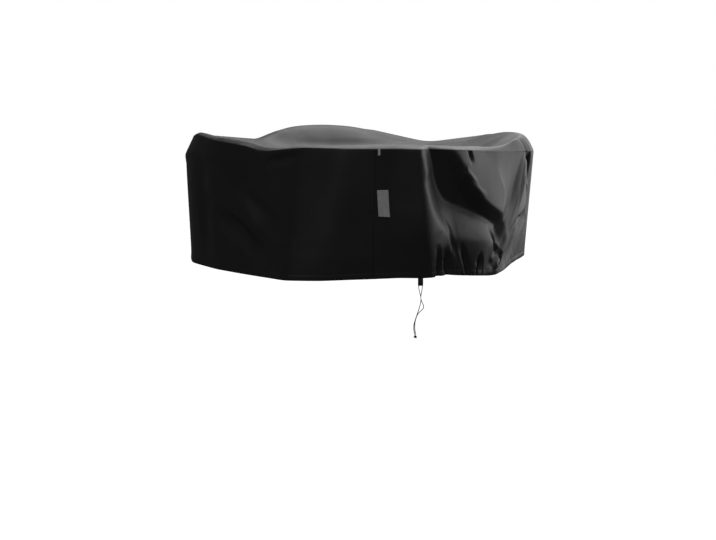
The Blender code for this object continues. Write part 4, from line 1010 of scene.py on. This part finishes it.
def knot():
    """The knot: the cord along a three-lobed knot, (sin t + 2 sin 2t, cos t - 2 cos 2t) and -sin 3t, drawn
    tight."""
    t = np.arange(120) * 2 * math.pi / 120
    lobes = np.stack([0.0017 * (np.sin(t) + 2 * np.sin(2 * t)), -0.0032 * np.sin(3 * t),
                      0.0016 * (np.cos(t) - 2 * np.cos(2 * t)) + 0.0006], axis=1)
    return tube("knot", by_lock(lobes + KNOT_AT), KNOT_TUBE, 18, closed=True)


PLASTIC, CORD = black_plastic(), black_cord()
body = lock_body()
button = turned("button", [
    (BUTTON_RADIUS, -BUTTON_IN), (BUTTON_RADIUS, BUTTON_OUT - 0.0008),
    (BUTTON_RADIUS - 0.0002, BUTTON_OUT - 0.0003),
    (BUTTON_RADIUS - 0.0008, BUTTON_OUT), (0.0029, BUTTON_OUT), (0.0026, BUTTON_OUT - 0.0004),
    (0.0022, BUTTON_OUT - 0.0004), (0.0019, BUTTON_OUT), (0.0008, BUTTON_OUT + 0.0001),
])
cord_knot = knot()
for piece, node, look, slot in (
    (body, "cord_lock", PLASTIC, "black_plastic"), (button, "lock_button", PLASTIC, "black_plastic"),
    (cord_knot, "cord_knot", CORD, "black_cord"),
):
    piece.data.materials.append(look)
    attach(piece, "root")
    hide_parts(node)
for name, route, length, extras in (
    ("cord_left", LEFT_END, CORD_LENGTH_LEFT, [body, button, cord_knot]),
    ("cord_right", RIGHT_END, CORD_LENGTH_RIGHT, []),
):
    path = evenly(by_lock(smooth_line(route, 24)), 260)
    piece = tube(name, path, CORD_DIAMETER / 2)
    piece.data.materials.append(CORD)
    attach(piece, "root")
    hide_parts(name.replace("cord", "drawcord"))
    tuple(by_lock(route[1]))

# -----------------------------------------------------------------------------
# The floor and the light. A floor as white as the background, a wide white light behind that the top panel
# mirrors, one overhead, a tall soft box to the right that picks out the folds, and a small one in front.

FLOOR = -0.741  # how far the floor lies under the origin
FLOOR_GLOW = 0.99  # just under the white of the background
floor_finish = Finish("floor_paint", (0.08, 0.08, 0.08), 0.9)
floor_finish.feed("Emission Color", (1.0, 1.0, 1.0, 1.0))
floor_finish.feed("Emission Strength", FLOOR_GLOW)
corners = np.array([(-30, -30), (30, -30), (30, 30), (-30, 30)], float)
corners = np.hstack([corners, np.full((4, 1), FLOOR)])
floor = grid_mesh("floor", corners, [np.array([[0, 1, 2, 3]])], smooth=False)
floor.data.materials.append(floor_finish.material)
floor.visible_glossy = False
floor.visible_diffuse = False

Light = namedtuple("Light", "name at aim wide tall watts")
LIGHTS = [
    Light("right soft box", (3.6, 1.45, 0.9), (0.3, -0.1, -0.1), 5.6, 3.6, 92),
    Light("overhead", (1.4, 0.4, 4.2), (0.2, -0.2, 0), 5.0, 4.0, 75),
    Light("back panel", (1.7, 4.2, 3.4), (0, 0, 0), 4.2, 2.2, 75),
    Light("front fill", (-1.6, -4.2, 4.0), (0, 0, -0.2), 2.4, 2.4, 110),
]
for light in LIGHTS:
    lamp = bpy.data.lights.new(light.name, "AREA")
    lamp.shape, lamp.size, lamp.size_y, lamp.energy = "RECTANGLE", light.wide, light.tall, light.watts
    stand = bpy.data.objects.new(light.name, lamp)
    way = Vector(light.aim) - Vector(light.at)
    stand.matrix_world = Matrix.Translation(light.at) @ way.to_track_quat("-Z", "Y").to_matrix().to_4x4()
    stand.visible_camera = False
    bpy.context.scene.collection.objects.link(stand)

world = bpy.data.worlds.new("studio")
world.use_nodes = True
bpy.context.scene.world = world
nodes, links = world.node_tree.nodes, world.node_tree.links
seen, lit, mix, path = (nodes.new(kind) for kind in (
    "ShaderNodeBackground", "ShaderNodeBackground", "ShaderNodeMixShader", "ShaderNodeLightPath"
))
seen.inputs["Color"].default_value = (1.0, 1.0, 1.0, 1.0)
lit.inputs["Color"].default_value = (0.060, 0.060, 0.062, 1.0)
links.new(path.outputs["Is Camera Ray"], mix.inputs[0])
links.new(lit.outputs[0], mix.inputs[1])
links.new(seen.outputs[0], mix.inputs[2])
links.new(mix.outputs[0], nodes["World Output"].inputs["Surface"])
